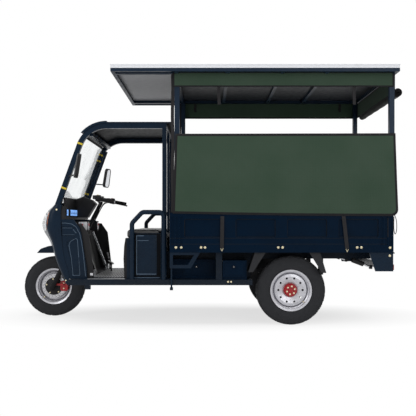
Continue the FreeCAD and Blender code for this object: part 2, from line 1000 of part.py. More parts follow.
def handlebar():
    reach = S.bar_reach
    bend = S.bar_bend_reach
    path = [(reach, -S.bar_half), (bend, -S.bar_half, S.bar_bend)]
    path += [(0, -S.bar_centre_half, S.bar_bend), (0, S.bar_centre_half, S.bar_bend)]
    path += [(bend, S.bar_half, S.bar_bend), (reach, S.bar_half)]

    def section(profile):
        draw_circle(profile, (-S.bar_half, 0), S.bar_radius)

    return bent_bar("XY_Plane", 0, path, "YZ_Plane", reach, section, "handlebar")


def bar_clamp():
    half = S.bar_clamp_width / 2
    return rod((0, -half, 0), S.bar_clamp_radius, S.bar_clamp_width, "Y", "bar_clamp")


keep("handlebar", cut(bar_body(fuse([handlebar(), bar_clamp()], "whole_bar")), kept["fork"], "handlebar"))


def grips():
    """Rubber grips and switch housings around the bar's ends."""
    sleeves = []
    for out in SIDES.values():
        y = S.bar_half * out
        grip_start = S.bar_reach - S.grip_length
        grip = rod((grip_start, y, 0), S.grip_radius, S.grip_length + S.bar_radius / 2, "X", "grip")
        switch_start = grip_start - S.switch_length
        switch = rod((switch_start, y, 0), S.switch_radius, S.switch_length, "X", "switch")
        sleeves.append(fuse([grip, switch], "sleeve"))
    return bar_body(cut(group(sleeves), handlebar(), "grips"))


keep("grips", grips())


# Chassis


def frame_neck():
    """The head tube and the down tube that ties it to the floor frame."""
    start = S.head_tube_start
    tube = rod((0, 0, start), S.head_tube_radius, S.head_tube_length, name="neck")
    return on_steering(group([tube], "leaned_neck"))


def floor_frame():
    """The side beams, cross members, pegs and legs that carry the floor, as touching tubes."""
    pieces = []
    inner = S.beam_half - S.beam_width
    beam_z = (beam_bottom, beam_top)
    for side in SIDES:
        y = across(side, inner, S.beam_half)
        pieces.append(box((behind(S.beam_front), behind(beam_rear)), y, beam_z, "side_beam"))
        peg_x = (behind(S.peg_start), behind(S.peg_start + S.peg_length))
        peg_z = (beam_bottom - S.peg_drop, beam_bottom)
        peg_y = across(side, S.beam_half - S.peg_width, S.beam_half)
        pieces.append(box(peg_x, peg_y, peg_z, "peg"))
        leg_start = bay_start + bay_length * LEG_SHARE
        leg_x = (behind(leg_start), behind(leg_start + S.leg_length))
        leg_y = across(side, S.beam_half - S.beam_width, S.beam_half - S.guard_plate_wall)
        pieces.append(box(leg_x, leg_y, (beam_top, bearer_bottom), "leg"))
    starts = (S.front_cross_start, S.cab_post_start, beam_rear - S.beam_width)
    widths = (S.cross_width, S.rail_front - S.cab_post_start, S.beam_width)
    for start, width in zip(starts, widths):
        x = (behind(start), behind(start + width))
        pieces.append(box(x, (-inner, inner), beam_z, "cross_member"))
    return pieces


def bed_frame():
    """The bed's rails, uprights and bearers, and the sill with the gate's lugs, as touching tubes."""
    pieces = []
    for side in SIDES:
        y = across(side, rail_inner, S.rail_half)
        rail_x = (behind(S.rail_front), behind(S.rail_rear))
        pieces.append(box(rail_x, y, (S.rail_bottom, bearer_bottom), "bed_rail"))
        front_x = (behind(S.rail_front - S.beam_width), behind(S.rail_front))
        pieces.append(box(front_x, y, (beam_top, bearer_bottom), "front_upright"))
        rear_x = (behind(beam_rear - S.beam_width), behind(beam_rear))
        pieces.append(box(rear_x, y, (beam_top, S.rail_bottom), "rear_upright"))
    for number in range(int(S.bearer_count.value)):
        start = S.bed_front + S.bed_wall + S.seat_gap + S.bearer_pitch * number
        x = (behind(start), behind(start + S.bearer_width))
        z = (bearer_bottom, S.bed_floor_level - S.bed_floor_wall)
        pieces.append(box(x, (-bed_inner, bed_inner), z, "bearer"))
    radius = S.gate_lug_radius
    sill_x = (behind(S.rail_rear), hinge_x + radius)
    sill_z = (S.bed_bottom - S.sill_wall, S.bed_bottom)
    pieces.append(box(sill_x, (-bed_inner, bed_inner), sill_z, "sill"))
    for out in SIDES.values():
        for way in SIDES.values():
            start = S.gate_hinge_half * out + (S.gate_hinge_length / 2 + S.seat_gap) * way
            if way < 0:
                start = start - S.gate_lug_width
            foot_y = (start, start + S.gate_lug_width)
            lug = rod((hinge_x, start, hinge_z), radius, S.gate_lug_width, "Y", "lug")
            foot_x = (hinge_x - radius, hinge_x + radius)
            foot = box(foot_x, foot_y, (S.bed_bottom, hinge_z), "lug_foot")
            pieces.append(fuse([lug, foot], "gate_lug"))
    return pieces


def down_tube():
    """The sloping tube from the neck to the front cross member."""
    high = S.head_tube_start + S.head_tube_length * 0.9
    low = S.head_tube_start + S.head_tube_length * 0.42
    points = []
    for level in (high, low):
        points.append((foot_x + sine(S.rake) * level, foot_z + cosine(S.rake) * level))
    start = behind(S.front_cross_start)
    outline = [points[0], points[1], (start, beam_top), (start + S.cross_width, beam_top)]
    half = S.down_tube_width / 2
    return slab("XZ_Plane", outline, -half, half, "down_tube")


def steering_neck():
    """The head tube with its bore for the steerer, on the down tube."""
    bore_radius = S.steerer_radius + S.shaft_clearance
    start = S.head_tube_start - S.overrun
    length = S.head_tube_length + S.overrun * 2
    bore = on_steering(group([rod((0, 0, start), bore_radius, length, name="neck_bore")], "leaned_bore"))
    return cut(fuse([frame_neck(), down_tube()], "neck"), bore, "steering_neck")


keep("steering_neck", steering_neck())
keep("chassis_frame", group(floor_frame() + bed_frame(), "chassis_frame"))

floor_x = (behind(S.floor_front), behind(S.guard_rear - S.guard_tube_radius) - S.seat_gap)
floor_z = (beam_top, S.floor_level)
keep("floor_plate", box(floor_x, (-S.beam_half, S.beam_half), floor_z, "floor_plate"))


def slanted_bar(start, end, radius, name):
    """A round bar between two points, worked out from named sizes."""
    first = FreeCAD.Vector(*(sized(value).value for value in start))
    last = FreeCAD.Vector(*(sized(value).value for value in end))
    along = last - first
    bar = doc.addObject("Part::Feature", name)
    bar.Shape = Part.makeCylinder(radius.value, along.Length, first, along)
    return bar


# Cab hoops, cross bars, roof and windscreen

hoop_turn = sized(90) - S.pillar_lean
corner_rise = S.roof_rail_level - S.cowl_level
hoop_corner = S.pillar_foot_start + corner_rise * tangent(S.pillar_lean)


def hoop_point(offset, bend):
    """The corner of the hoop's line moved outwards, with its rounding."""
    x = behind(hoop_corner - offset * tangent(hoop_turn / 2))
    return (x, S.roof_rail_level + offset, bend + offset)


def pillar_point(offset, level):
    """A point of the pillar's line moved outwards, at a level."""
    fall = S.roof_rail_level - level
    run = fall * tangent(S.pillar_lean) + offset / cosine(S.pillar_lean)
    return (behind(hoop_corner - run), level)


def grab_tube(y):
    """A round tube welded along the back of the right pillar."""
    radius = S.hoop_wall / 2
    away = -(S.pillar_wall / 2 + radius - S.seat_gap * 6)
    ends = []
    for level in (S.cowl_level + radius, S.windscreen_top_level - S.hoop_wall):
        x, z = pillar_point(away, level)
        ends.append((x, y[0] + radius, z))
    return slanted_bar(ends[0], ends[1], radius, "grab_tube")


def cab_hoop(side):
    """The pillar, the roof rail and the rear post of one side, with a level foot."""
    half_wall = S.pillar_wall / 2
    rear = behind(S.cab_post_start)
    foot = S.cowl_level + S.seat_gap
    outline = [pillar_point(half_wall, foot), hoop_point(half_wall, S.hoop_bend)]
    outline += [(rear, S.roof_rail_level + half_wall), (rear, S.roof_rail_level - half_wall)]
    outline += [hoop_point(-half_wall, S.hoop_bend), pillar_point(-half_wall, foot)]
    y = across(side, hoop_inner, S.hoop_half)
    front = slab("XZ_Plane", outline, y[0], y[1], "pillar")
    post_x = (rear, rear + S.hoop_wall)
    post = box(post_x, y, (beam_top, S.roof_rail_level + half_wall), "post")
    pieces = [front, post]
    if side == "right":
        pieces.append(grab_tube(y))
    return fuse(pieces, f"cab_hoop_{side}")


for side_name in SIDES:
    keep(f"cab_hoop_{side_name}", cab_hoop(side_name))


def cab_cross_bars():
    """The windscreen header, the rear bar and the thin centre post."""
    half = hoop_inner - S.seat_gap
    header_x = (behind(S.header_bar_start), behind(S.header_bar_start + S.header_bar_size))
    header_z = (S.header_bar_level, S.header_bar_level + S.header_bar_size)
    header = box(header_x, (-half, half), header_z, "header_bar")
    post_x = (behind(S.cab_post_start), behind(S.cab_post_start + S.hoop_wall))
    top = S.roof_rail_level + S.pillar_wall / 2
    rear_bar = box(post_x, (-half, half), (top - S.hoop_wall, top), "rear_bar")
    lower_z = (S.seat_box_top, S.seat_box_top + S.hoop_wall)
    lower_bar = box(post_x, (-half, half), lower_z, "lower_bar")
    thin = S.centre_post_width / 2
    middle = (post_x[0] + S.hoop_wall / 2 - thin, post_x[0] + S.hoop_wall / 2 + thin)
    low_post = box(middle, (-thin, thin), (beam_top, lower_z[0]), "low_post")
    high_post = box(middle, (-thin, thin), (lower_z[1], top - S.hoop_wall), "high_post")
    return group([header, rear_bar, lower_bar, low_post, high_post], "cab_cross_bars")


keep("cab_cross_bars", cab_cross_bars())


def roof_outline(low, high, tip, rear):
    """The side outline of a sheet over the rails that curves down in front."""
    outline = [pillar_point(high, tip), hoop_point(high, S.hoop_bend), (rear, S.roof_rail_level + high)]
    return outline + [(rear, S.roof_rail_level + low), hoop_point(low, S.hoop_bend), pillar_point(low, tip)]


def cab_roof():
    """The roof skin over the rails and the thicker visor over its front bend."""
    low = S.pillar_wall / 2 + S.seat_gap
    high = low + S.cab_roof_wall
    tip = S.cab_roof_front_level - S.hoop_wall
    half = S.cab_roof_half
    skin = slab("XZ_Plane", roof_outline(low, high, tip, behind(S.cab_roof_rear)), -half, half, "roof_skin")
    crest = high + S.visor_wall
    visor = slab("XZ_Plane", roof_outline(low, crest, tip, behind(S.visor_rear)), -half, half, "visor")
    cut_x = (behind(S.nose_front), behind(S.cab_post_start))
    below = box(cut_x, (-half * 2, half * 2), (0, S.cab_roof_front_level), "below_visor")
    return cut(fuse([skin, visor], "roof"), below, "cab_roof")


keep("cab_roof", cab_roof())


def windscreen():
    """A flat pane that leans between the pillars and stands on the cowl."""
    foot = S.cowl_level + S.seat_gap
    top = S.windscreen_top_level
    half_wall = S.windscreen_wall / 2
    outline = [pillar_point(half_wall, foot), pillar_point(half_wall, top)]
    outline += [pillar_point(-half_wall, top), pillar_point(-half_wall, foot)]
    half = hoop_inner - S.seat_gap
    return slab("XZ_Plane", outline, -half, half, "windscreen")


keep("windscreen", windscreen())


# Nose fairing and headlamps

# Level, front and rear edge of each level section, as shares of the nose's height and depth
NOSE_SHARES = (
    (0.000, 0.939, 1.256),
    (0.095, 0.817, 1.236),
    (0.200, 0.625, 1.175),
    (0.317, 0.508, 1.081),
    (0.404, 0.440, 1.037),
    (0.543, 0.285, 1.000),
    (0.665, 0.062, 0.976),
    (0.765, 0.000, 0.963),
    (0.898, 0.167, 0.960),
    (1.000, 0.500, 1.000),
)
NOSE_CORNER_SHARE = 0.48
NOSE_ROUND_SHARES = (0.32, 0.80)
NOSE_FRONT_SHARES = (0.36, 0.62)


def nose_section(row, inset, rear_extra):
    """One level outline of the nose, narrow and round at the bulge and square low down."""
    height = S.cowl_level - S.nose_bottom
    front = behind(S.nose_front + S.nose_depth * row[1]) + inset
    rear = behind(S.nose_front + S.nose_depth * row[2])
    depth = rear - front + inset
    half = S.hoop_half - inset
    narrow, wide = NOSE_FRONT_SHARES
    flat = half * (wide - (wide - narrow) * min(1, row[2] - row[1]))
    corner = rear - depth * NOSE_CORNER_SHARE
    rounds = [depth * share for share in NOSE_ROUND_SHARES]
    level = S.nose_bottom + height * row[0]
    back = rear + rear_extra
    points = [(back, -half), (corner, -half, rounds[0]), (front, -flat, rounds[1])]
    points += [(front, flat, rounds[1]), (corner, half, rounds[0]), (back, half)]
    return level, points


def nose_loft(inset, rear_extra, bottom_extra, name):
    """The nose as a solid, drawn in from its outside by an inset."""
    body = new_body(name)
    sections = []
    for number, row in enumerate(NOSE_SHARES):
        level, points = nose_section(row, inset, rear_extra)
        if number == 0:
            level = level - bottom_extra
        if number == len(NOSE_SHARES) - 1:
            level = level - inset
        sections.append(draw(sketch_on(body, "XY_Plane", level), points))
    loft = body.newObject("PartDesign::AdditiveLoft", "loft")
    loft.Profile = sections[0]
    loft.Sections = sections[1:]
    return body


def wheel_arch():
    """The tall opening that leaves room for the front wheel as it steers."""
    low = -S.overrun
    points = [(-S.arch_half, low), (S.arch_half, low)]
    points += [(S.arch_half, S.arch_level, S.arch_round), (-S.arch_half, S.arch_level, S.arch_round)]
    front = behind(S.nose_front) - S.nose_depth
    rear = behind(S.nose_front) + S.nose_depth * 2
    return slab("YZ_Plane", points, front, rear, "arch")


def lamp_prism(side, gap, name):
    """The headlamp's outline as a block that reaches through the nose's corner."""
    front = behind(S.nose_front) - S.overrun
    top = S.lamp_top - gap
    bottom = S.lamp_bottom + gap
    rear_top = behind(S.lamp_rear_top) - gap
    rear_bottom = behind(S.lamp_rear_bottom) - gap
    round_size = (S.lamp_top - S.lamp_bottom) / 8
    points = [(front, bottom), (rear_bottom, bottom, round_size), (rear_top, top, round_size), (front, top)]
    y = across(side, S.lamp_inner_half + gap, S.hoop_half + S.overrun)
    return slab("XZ_Plane", points, y[0], y[1], name)


def nose_fairing():
    outer = nose_loft(sized(0), sized(0), sized(0), "nose_outer")
    inner = nose_loft(S.nose_wall, S.overrun, S.overrun, "nose_inner")
    holes = [inner, wheel_arch()]
    for side in SIDES:
        holes.append(lamp_prism(side, sized(0), f"lamp_hole_{side}"))
    return cut(outer, fuse(holes, "nose_holes"), "nose_fairing")


def headlamp(side):
    outer = nose_loft(sized(0), sized(0), sized(0), "lamp_outer")
    inner = nose_loft(S.lamp_depth, S.overrun, S.overrun, "lamp_inner")
    prism = lamp_prism(side, S.seat_gap, "lamp_outline")
    return cut(common([outer, prism], "lamp_block"), inner, f"headlamp_{side}")


keep("nose_fairing", nose_fairing())
keep("headlamps", group([headlamp("left"), headlamp("right")], "headlamps"))


# Leg shields

SHIELD_SHARES = (
    (0.000, 1.000), (0.030, 0.702), (0.060, 0.507), (0.145, 0.312), (0.268, 0.138),
    (0.311, 0.039), (0.338, 0.000), (1.000, 0.000), (0.978, 0.166), (0.877, 0.458),
    (0.789, 0.731), (0.702, 0.869), (0.500, 1.000),
)
SHIELD_POCKET_SHARES = (
    (0.270, 0.630), (0.520, 0.690), (0.640, 0.560), (0.760, 0.090), (0.470, 0.060),
    (0.380, 0.360), (0.250, 0.560),
)
SHIELD_GROOVE_SHARES = ((0.070, 0.715, 0.560, 0.745), (0.060, 0.850, 0.560, 0.880))


def leg_shield(side):
    """The side panel behind the nose, with a sunk field and two level grooves."""
    start = (behind(S.shield_front), beam_top)
    size = (S.shield_length, S.shield_height)
    outer = S.hoop_half - S.nose_wall - S.seat_gap
    y = across(side, outer - S.shield_wall, outer)
    body = slab("XZ_Plane", spread(SHIELD_SHARES, start, size), y[0], y[1], "leg_shield")
    relief = across(side, outer - S.shield_relief, outer + S.overrun)
    add_pocket(body, "XZ_Plane", spread(SHIELD_POCKET_SHARES, start, size), relief[0], relief[1])
    for left, low, right, high in SHIELD_GROOVE_SHARES:
        corners = spread(((left, low), (right, high)), start, size)
        add_pocket(body, "XZ_Plane", rectangle(*corners), relief[0], relief[1])
    return body


for side_name in SIDES:
    keep(f"leg_shield_{side_name}", leg_shield(side_name))


# Inner knee panel


def inner_panel():
    """The black panel in front of the knees: a sunk face with an opening for the fork, and two side wings."""
    top = S.panel_top
    bottom = S.floor_level + S.seat_gap
    face_top = behind(S.panel_face_top)
    face_bottom = behind(S.panel_face_bottom)
    wall = S.panel_wall
    half = S.panel_half
    inner_half = half - wall
    wing = [(face_top, top), (behind(S.panel_wing_top), top), (behind(S.panel_wing_middle), S.panel_wing_level)]
    wing += [(behind(S.panel_wing_bottom), S.panel_wing_low_level), (behind(S.panel_wing_bottom), bottom)]
    wing += [(behind(S.floor_front) + wall, bottom), (face_bottom, S.panel_wing_low_level)]
    pieces = [slab("XZ_Plane", wing, -half, -inner_half, "wing"), slab("XZ_Plane", wing, inner_half, half, "wing")]
    foot = behind(S.floor_front)
    face = [(face_top, top), (face_top + wall, top), (face_bottom + wall, S.panel_wing_low_level)]
    face += [(foot + wall * 2, bottom), (foot + wall, bottom), (face_bottom, S.panel_wing_low_level)]
    body = slab("XZ_Plane", face, -inner_half, inner_half, "face")
    opening = S.panel_opening_half
    slot = S.panel_slot_half
    edge = S.panel_opening_bottom
    outline = [(-opening, top + S.overrun), (-opening, edge, slot), (-slot, edge), (-slot, bottom - S.overrun)]
    outline += [(slot, bottom - S.overrun), (slot, edge), (opening, edge, slot), (opening, top + S.overrun)]
    add_pocket(body, "YZ_Plane", outline, face_top - S.overrun, foot + S.overrun * 2)
    return fuse(pieces + [body], "inner_panel")


keep("inner_panel", inner_panel())


# Dashboard, display, stays and switch boxes

POD_SHARES = ((0.00, 0.00), (0.56, 0.00), (1.00, 0.66), (0.80, 0.84), (0.35, 1.00), (0.00, 0.89))


def dashboard():
    """The dash across the cab with the dark pod in front of the column."""
    rear = behind(S.dash_rear)
    front = behind(S.dash_front)
    step = behind(S.dash_step)
    under_cowl = S.cowl_level - S.nose_wall * 3
    outline = [(front, S.dash_bottom), (rear, S.dash_bottom), (rear, S.dash_top), (step, S.dash_top)]
    outline += [(step, under_cowl), (front, under_cowl)]
    half = hoop_inner - S.seat_gap
    body = slab("XZ_Plane", outline, -half, half, "dashboard")
    low_part = rectangle((rear - S.dash_low_depth, S.dash_bottom), (rear, under_cowl))
    low_half = S.hoop_half - S.nose_wall * 2
    add_pad(body, "XZ_Plane", low_part, -low_half, low_half)
    start = (rear, S.pod_bottom)
    pod = spread(POD_SHARES, start, (S.pod_length, S.pod_height))
    add_pad(body, "XZ_Plane", pod, -S.pod_half, S.pod_half)
    return body


def display_windows():
    """The small and the large window on the dash's rear face, left and right of the pod."""
    x = (behind(S.dash_rear), behind(S.dash_rear) + S.display_wall)
    z = (S.display_bottom, S.display_bottom + S.display_height)
    small_y = (-S.small_display_half, S.small_display_width - S.small_display_half)
    windows = [box(x, small_y, z, "small_window")]
    large_y = (-S.large_display_half, S.large_display_width - S.large_display_half)
    windows.append(box(x, large_y, z, "large_window"))
    return windows


keep("dashboard", fuse([dashboard()] + display_windows(), "dashboard"))


def dash_stays():
    """Two bright tubes from the switch boxes down to their feet on the floor."""
    stays = []
    for side, out in SIDES.items():
        foot_half = S.stay_foot_half
        top = (behind(S.stay_top_start), S.stay_top_half * out, S.stay_top_level)
        foot_at = (behind(S.stay_foot_start), foot_half * out, S.stay_foot_level)
        bar = slanted_bar(top, foot_at, S.stay_radius, "stay")
        x = (foot_at[0] + S.stay_radius, foot_at[0] + S.stay_radius + S.foot_block)
        y = across(side, foot_half - S.foot_block / 2, foot_half + S.foot_block / 2)
        level = S.floor_level + S.seat_gap
        base = box(x, y, (level, level + S.foot_block / 4), "base")
        post_x = (foot_at[0], foot_at[0] + S.foot_block)
        post_y = across(side, foot_half - S.stay_radius, foot_half + S.stay_radius)
        clevis = box(post_x, post_y, (level, S.stay_foot_level + S.stay_radius), "clevis")
        stays.append(fuse([bar, base, clevis], "stay_with_foot"))
    return group(stays, "dash_stays")


def switch_boxes():
    boxes = []
    for side in SIDES:
        centre = S.stay_top_half
        half = S.switch_box_width / 2
        x = (behind(S.switch_box_front), behind(S.switch_box_front + S.switch_box_length))
        z = (S.switch_box_bottom, S.switch_box_bottom + S.switch_box_height)
        y = across(side, centre - half, centre + half)
        boxes.append(box(x, y, z, "switch_box"))
    return boxes


boxes_pair = switch_boxes()
keep("switch_boxes", cut(group(boxes_pair, "box_pair"), kept["inner_panel"], "switch_boxes"))
keep("dash_stays", cut(dash_stays(), fuse(switch_boxes() + [inner_panel()], "stay_seats"), "dash_stays"))


# Mirrors


def mirror_outline(border):
    """The mirror's face, narrower at its top, drawn in by a border."""
    low_half = S.mirror_width / 2 - border
    high_half = S.mirror_width / 2 * S.mirror_taper - border
    top = S.mirror_height - border
    corners = [(-low_half, border), (low_half, border), (high_half, top), (-high_half, top)]
    return [corner + (S.mirror_round - border,) for corner in corners]


def mirror(side):
    """A rounded shell on an arm, leaned back and turned so that its glass faces the driver."""
    out = SIDES[side]
    depth = S.mirror_depth / 2
    shell = slab("YZ_Plane", mirror_outline(sized(0)), -depth, depth, "mirror_shell")
    add_pocket(shell, "YZ_Plane", mirror_outline(S.glass_border), depth - S.glass_wall, depth)
    place(shell, (sized(0), sized(0), sized(0)), (0, 1, 0), S.mirror_lean)
    centre = (behind(S.mirror_start), S.mirror_half * out, S.mirror_bottom)
    turned_shell = place(group([shell], "mirror_head"), centre, (0, 0, 1), -S.mirror_yaw * out)
    start = (behind(S.mirror_arm_start), (S.hoop_half + S.seat_gap) * out, S.mirror_arm_level)
    end = (behind(S.mirror_start), S.mirror_half * out, S.mirror_arm_level)
    arm = slanted_bar(start, end, S.mirror_arm_radius, "arm")
    return fuse([cut(arm, kept[f"cab_hoop_{side}"]), turned_shell], f"mirror_{side}")


keep("mirrors", group([mirror("left"), mirror("right")], "mirrors"))


# Seat


def seat_box():
    """An open-topped box under the seat, as wide as the side guards allow."""
    half = box_half
    wall = S.seat_box_wall
    x = (behind(S.seat_box_front), behind(S.seat_box_rear))
    z = (S.floor_level, S.seat_box_top)
    shell = box(x, (-half, half), z, "seat_box_outside")
    room_x = (x[0] + wall, x[1] - wall)
    room_z = (S.floor_level + wall, S.seat_box_top + S.overrun)
    room = box(room_x, (wall - half, half - wall), room_z, "seat_box_room")
    pieces = [cut(shell, room, "seat_shell")]
    for side in SIDES:
        side_x = (behind(S.seat_side_front), x[1])
        side_y = across(side, half, seat_half)
        pieces.append(box(side_x, side_y, (S.floor_level, S.seat_side_top), "side_panel"))
    return fuse(pieces, "seat_box")


keep("seat_box", seat_box())

cushion_x = (behind(S.cushion_front), behind(S.cushion_rear))
cushion_z = (S.seat_box_top + S.seat_gap, S.seat_box_top + S.seat_gap + S.cushion_thickness)


def seat_cushion():
    body = new_body("seat_cushion")
    corners = rounded_rectangle((cushion_x[0], cushion_z[0]), (cushion_x[1], cushion_z[1]), S.cushion_thickness / 4)
    half = box_half - S.moving_gap
    add_pad(body, "XZ_Plane", corners, -half, half)
    return body


keep("seat_cushion", seat_cushion())

COVER_SHARES = ((1.0, 0.0), (0.25, 0.0), (0.00, 0.48), (0.18, 0.80), (0.55, 1.0), (1.0, 1.0))


def seat_front_cover():
    """The bulging black panel on the front of the seat box."""
    start = (behind(S.seat_box_front - S.cover_bulge), S.floor_level + S.seat_gap)
    height = S.seat_box_top - S.floor_level - S.seat_gap * 2
    outline = spread(COVER_SHARES, start, (S.cover_bulge, height))
    half = box_half - S.cover_inset
    return slab("XZ_Plane", outline, -half, half, "seat_front_cover")


keep("seat_front_cover", seat_front_cover())


def seat_guard(side):
    """A bent tube that stands on the side beam and guards the seat's end."""
    level = S.guard_half * SIDES[side]
    front = behind(S.guard_front)
    rear = behind(S.guard_rear)
    path = [(front, S.floor_level), (front, S.guard_corner_level, S.guard_bend)]
    path += [(behind(S.guard_top_start), S.guard_top_level, S.guard_bend)]
    path += [(rear, S.guard_top_level, S.guard_bend), (rear, beam_top)]

    def section(profile):
        draw_circle(profile, (front, level), S.guard_tube_radius)

    return bent_bar("XZ_Plane", level, path, "XY_Plane", S.floor_level, section, "seat_guard")


keep("seat_guards", group([seat_guard("left"), seat_guard("right")], "seat_guards"))


# Load bed

bed_x = (behind(S.bed_front), behind(bed_rear))
bed_z = (S.bed_bottom, bed_top)
floor_top = S.bed_floor_level
gate_inner = bed_rear - S.bed_wall


def add_recesses(body, plane, start, low, high):
    """A row of sunk fields along a wall."""
    first_low = (start, S.recess_bottom)
    first_high = (start + S.recess_width, S.recess_top)
    outline = rounded_rectangle(first_low, first_high, S.recess_round)
    pocket = add_pocket(body, plane, outline, low, high)
    pattern = body.newObject("PartDesign::LinearPattern", "fields")
    pattern.Originals = [pocket]
    pattern.Direction = (pocket.Profile[0], ["H_Axis"])
    tie(pattern, "Length", S.recess_pitch * (S.recess_count - 1))
    tie(pattern, "Occurrences", S.recess_count)
    body.Tip = pattern


def bed_side(side):
    """A side wall with four sunk fields and ribbed corner posts."""
    y = across(side, bed_inner, S.bed_half)
    body = slab("XZ_Plane", rectangle((bed_x[0], bed_z[0]), (bed_x[1], bed_z[1])), y[0], y[1], "bed_side")
    field = across(side, S.bed_half - S.recess_depth, S.bed_half + S.overrun)
    add_recesses(body, "XZ_Plane", bed_x[0] + S.recess_start, field[0], field[1])
    rib_field = across(side, S.bed_half - S.recess_depth / 2, S.bed_half + S.overrun)
    for number in range(int(S.rib_count.value)):
        pitch = (S.corner_width - S.rib_width) / S.rib_count
        for edge in (bed_x[0], bed_x[1] - S.corner_width):
            start = edge + S.rib_width + pitch * number
            low = (start, S.bed_bottom + S.bed_wall * 2)
            high = (start + pitch - S.rib_width, bed_top - S.bed_wall)
            add_pocket(body, "XZ_Plane", rectangle(low, high), rib_field[0], rib_field[1])
    return body


for side_name in SIDES:
    keep(f"bed_side_{side_name}", bed_side(side_name))

wall_x = (bed_x[0], bed_x[0] + S.bed_wall)
keep("bed_front_wall", box(wall_x, (-bed_inner, bed_inner), bed_z, "bed_front_wall"))

gate_x = behind(gate_inner)
bed_floor_x = (wall_x[1], gate_x - S.gate_gap * 1.5)
floor_half = bed_inner
bed_floor_z = (floor_top - S.bed_floor_wall, floor_top)
keep("bed_floor", box(bed_floor_x, (-floor_half, floor_half), bed_floor_z, "bed_floor"))


def tailgate():
    """The rear wall, hung on two barrels along its lower outer edge."""
    half = bed_inner - S.gate_gap
    low = (-half, S.bed_bottom + S.gate_gap)
    high = (half, bed_top - S.gate_gap / 2)
    body = slab("YZ_Plane", rectangle(low, high), gate_x, bed_x[1], "gate")
    width = (half * 2 - S.corner_width) / 2 - S.recess_round * 4
    for out in SIDES.values():
        middle = (half + S.recess_round) / 2 * out
        field_low = (middle - width / 2, S.recess_bottom)
        field_high = (middle + width / 2, S.recess_top)
        outline = rounded_rectangle(field_low, field_high, S.recess_round)
        add_pocket(body, "YZ_Plane", outline, bed_x[1] - S.recess_depth, bed_x[1])
    length = S.gate_hinge_length
    barrels = []
    for out in SIDES.values():
        start = S.gate_hinge_half * out - length / 2
        barrels.append(rod((hinge_x, start, hinge_z), S.gate_hinge_radius, length, "Y", "barrel"))
    return fuse([body] + barrels, "tailgate")


keep("tailgate", tailgate())


# Battery boxes, step brackets and mudguards under the bed

battery_top = S.rail_bottom - S.seat_gap
battery_bottom = beam_top + S.seat_gap
door_bottom = battery_bottom + S.battery_sill


def bay_places(shares):
    return [behind(bay_start + bay_length * share) for share in shares]


def battery_box(x, door_x, half):
    """A sheet box across the frame, open at the left where its door hangs."""
    wall = S.battery_wall
    shell = box(x, (-half, half), (battery_bottom, battery_top), "battery_shell")
    room_z = (door_bottom + wall, battery_top - wall)
    room_x = (door_x[0] + wall, door_x[1] - wall)
    room = box(room_x, (-half - S.overrun, half - wall), room_z, "battery_room")
    return cut(shell, room, "battery_box")


def battery_door(x, half):
    """A door with a raised middle and a round lock."""
    outer = -half - S.seat_gap
    wall = S.battery_door_wall
    z = (door_bottom, battery_top - S.moving_gap)
    leaf = slab("XZ_Plane", rectangle((x[0], z[0]), (x[1], z[1])), outer - wall, outer, "leaf")
    border = S.battery_door_border * 2
    field = rounded_rectangle((x[0] + border, z[0] + border), (x[1] - border, z[1] - border), border)
    add_pad(leaf, "XZ_Plane", field, outer - wall * 1.5, outer - wall)
    middle = (x[0] + x[1]) / 2
    knob_start = outer - wall * 1.5 - S.lock_length
    knob = rod((middle, knob_start, S.lock_level), S.lock_radius, S.lock_length, "Y", "lock")
    return fuse([leaf, knob], "battery_door")


BATTERIES = {
    "front": (FRONT_BATTERY_SHARES, FRONT_DOOR_SHARES, S.front_battery_half),
    "rear": (REAR_BATTERY_SHARES, REAR_DOOR_SHARES, S.rear_battery_half),
}
battery_shells = []
for box_name, (box_shares, door_shares, box_side) in BATTERIES.items():
    door_places = bay_places(door_shares)
    battery_shells.append(battery_box(bay_places(box_shares), door_places, box_side))
    keep(f"battery_door_{box_name}", battery_door(door_places, box_side))
keep("battery_boxes", group(battery_shells, "battery_boxes"))


def step_bracket(side):
    """A plate with a window under the bed's front corner, with a screw below it."""
    y = across(side, S.step_half - S.step_wall, S.step_half)
    x = behind(S.bed_front)
    top = S.bed_bottom
    outline = [(x, top), (x + S.step_length, top), (x + S.step_foot_length, S.step_bottom), (x, S.step_bottom)]
    body = slab("XZ_Plane", outline, y[0], y[1], "step_plate")
    start = x + S.step_window_start
    window = [(start, S.step_window_bottom), (x + S.step_foot_length - S.step_window_start, S.step_window_bottom)]
    window += [(start + S.step_window_length, S.step_window_top), (start, S.step_window_top)]
    add_pocket(body, "XZ_Plane", window, y[0] - S.overrun, y[1] + S.overrun)
    middle = (y[0] + y[1]) / 2
    screw_x = x + S.screw_knob_radius
    length = S.step_bottom - S.screw_bottom
    screw = rod((screw_x, middle, S.screw_bottom), S.screw_radius, length, name="screw")
    knob_z = S.screw_bottom - S.screw_knob_height
    knob = rod((screw_x, middle, knob_z), S.screw_knob_radius, S.screw_knob_height, name="knob")
    return fuse([body, screw, knob], "step_bracket")


keep("step_brackets", group([step_bracket("left"), step_bracket("right")], "step_brackets"))


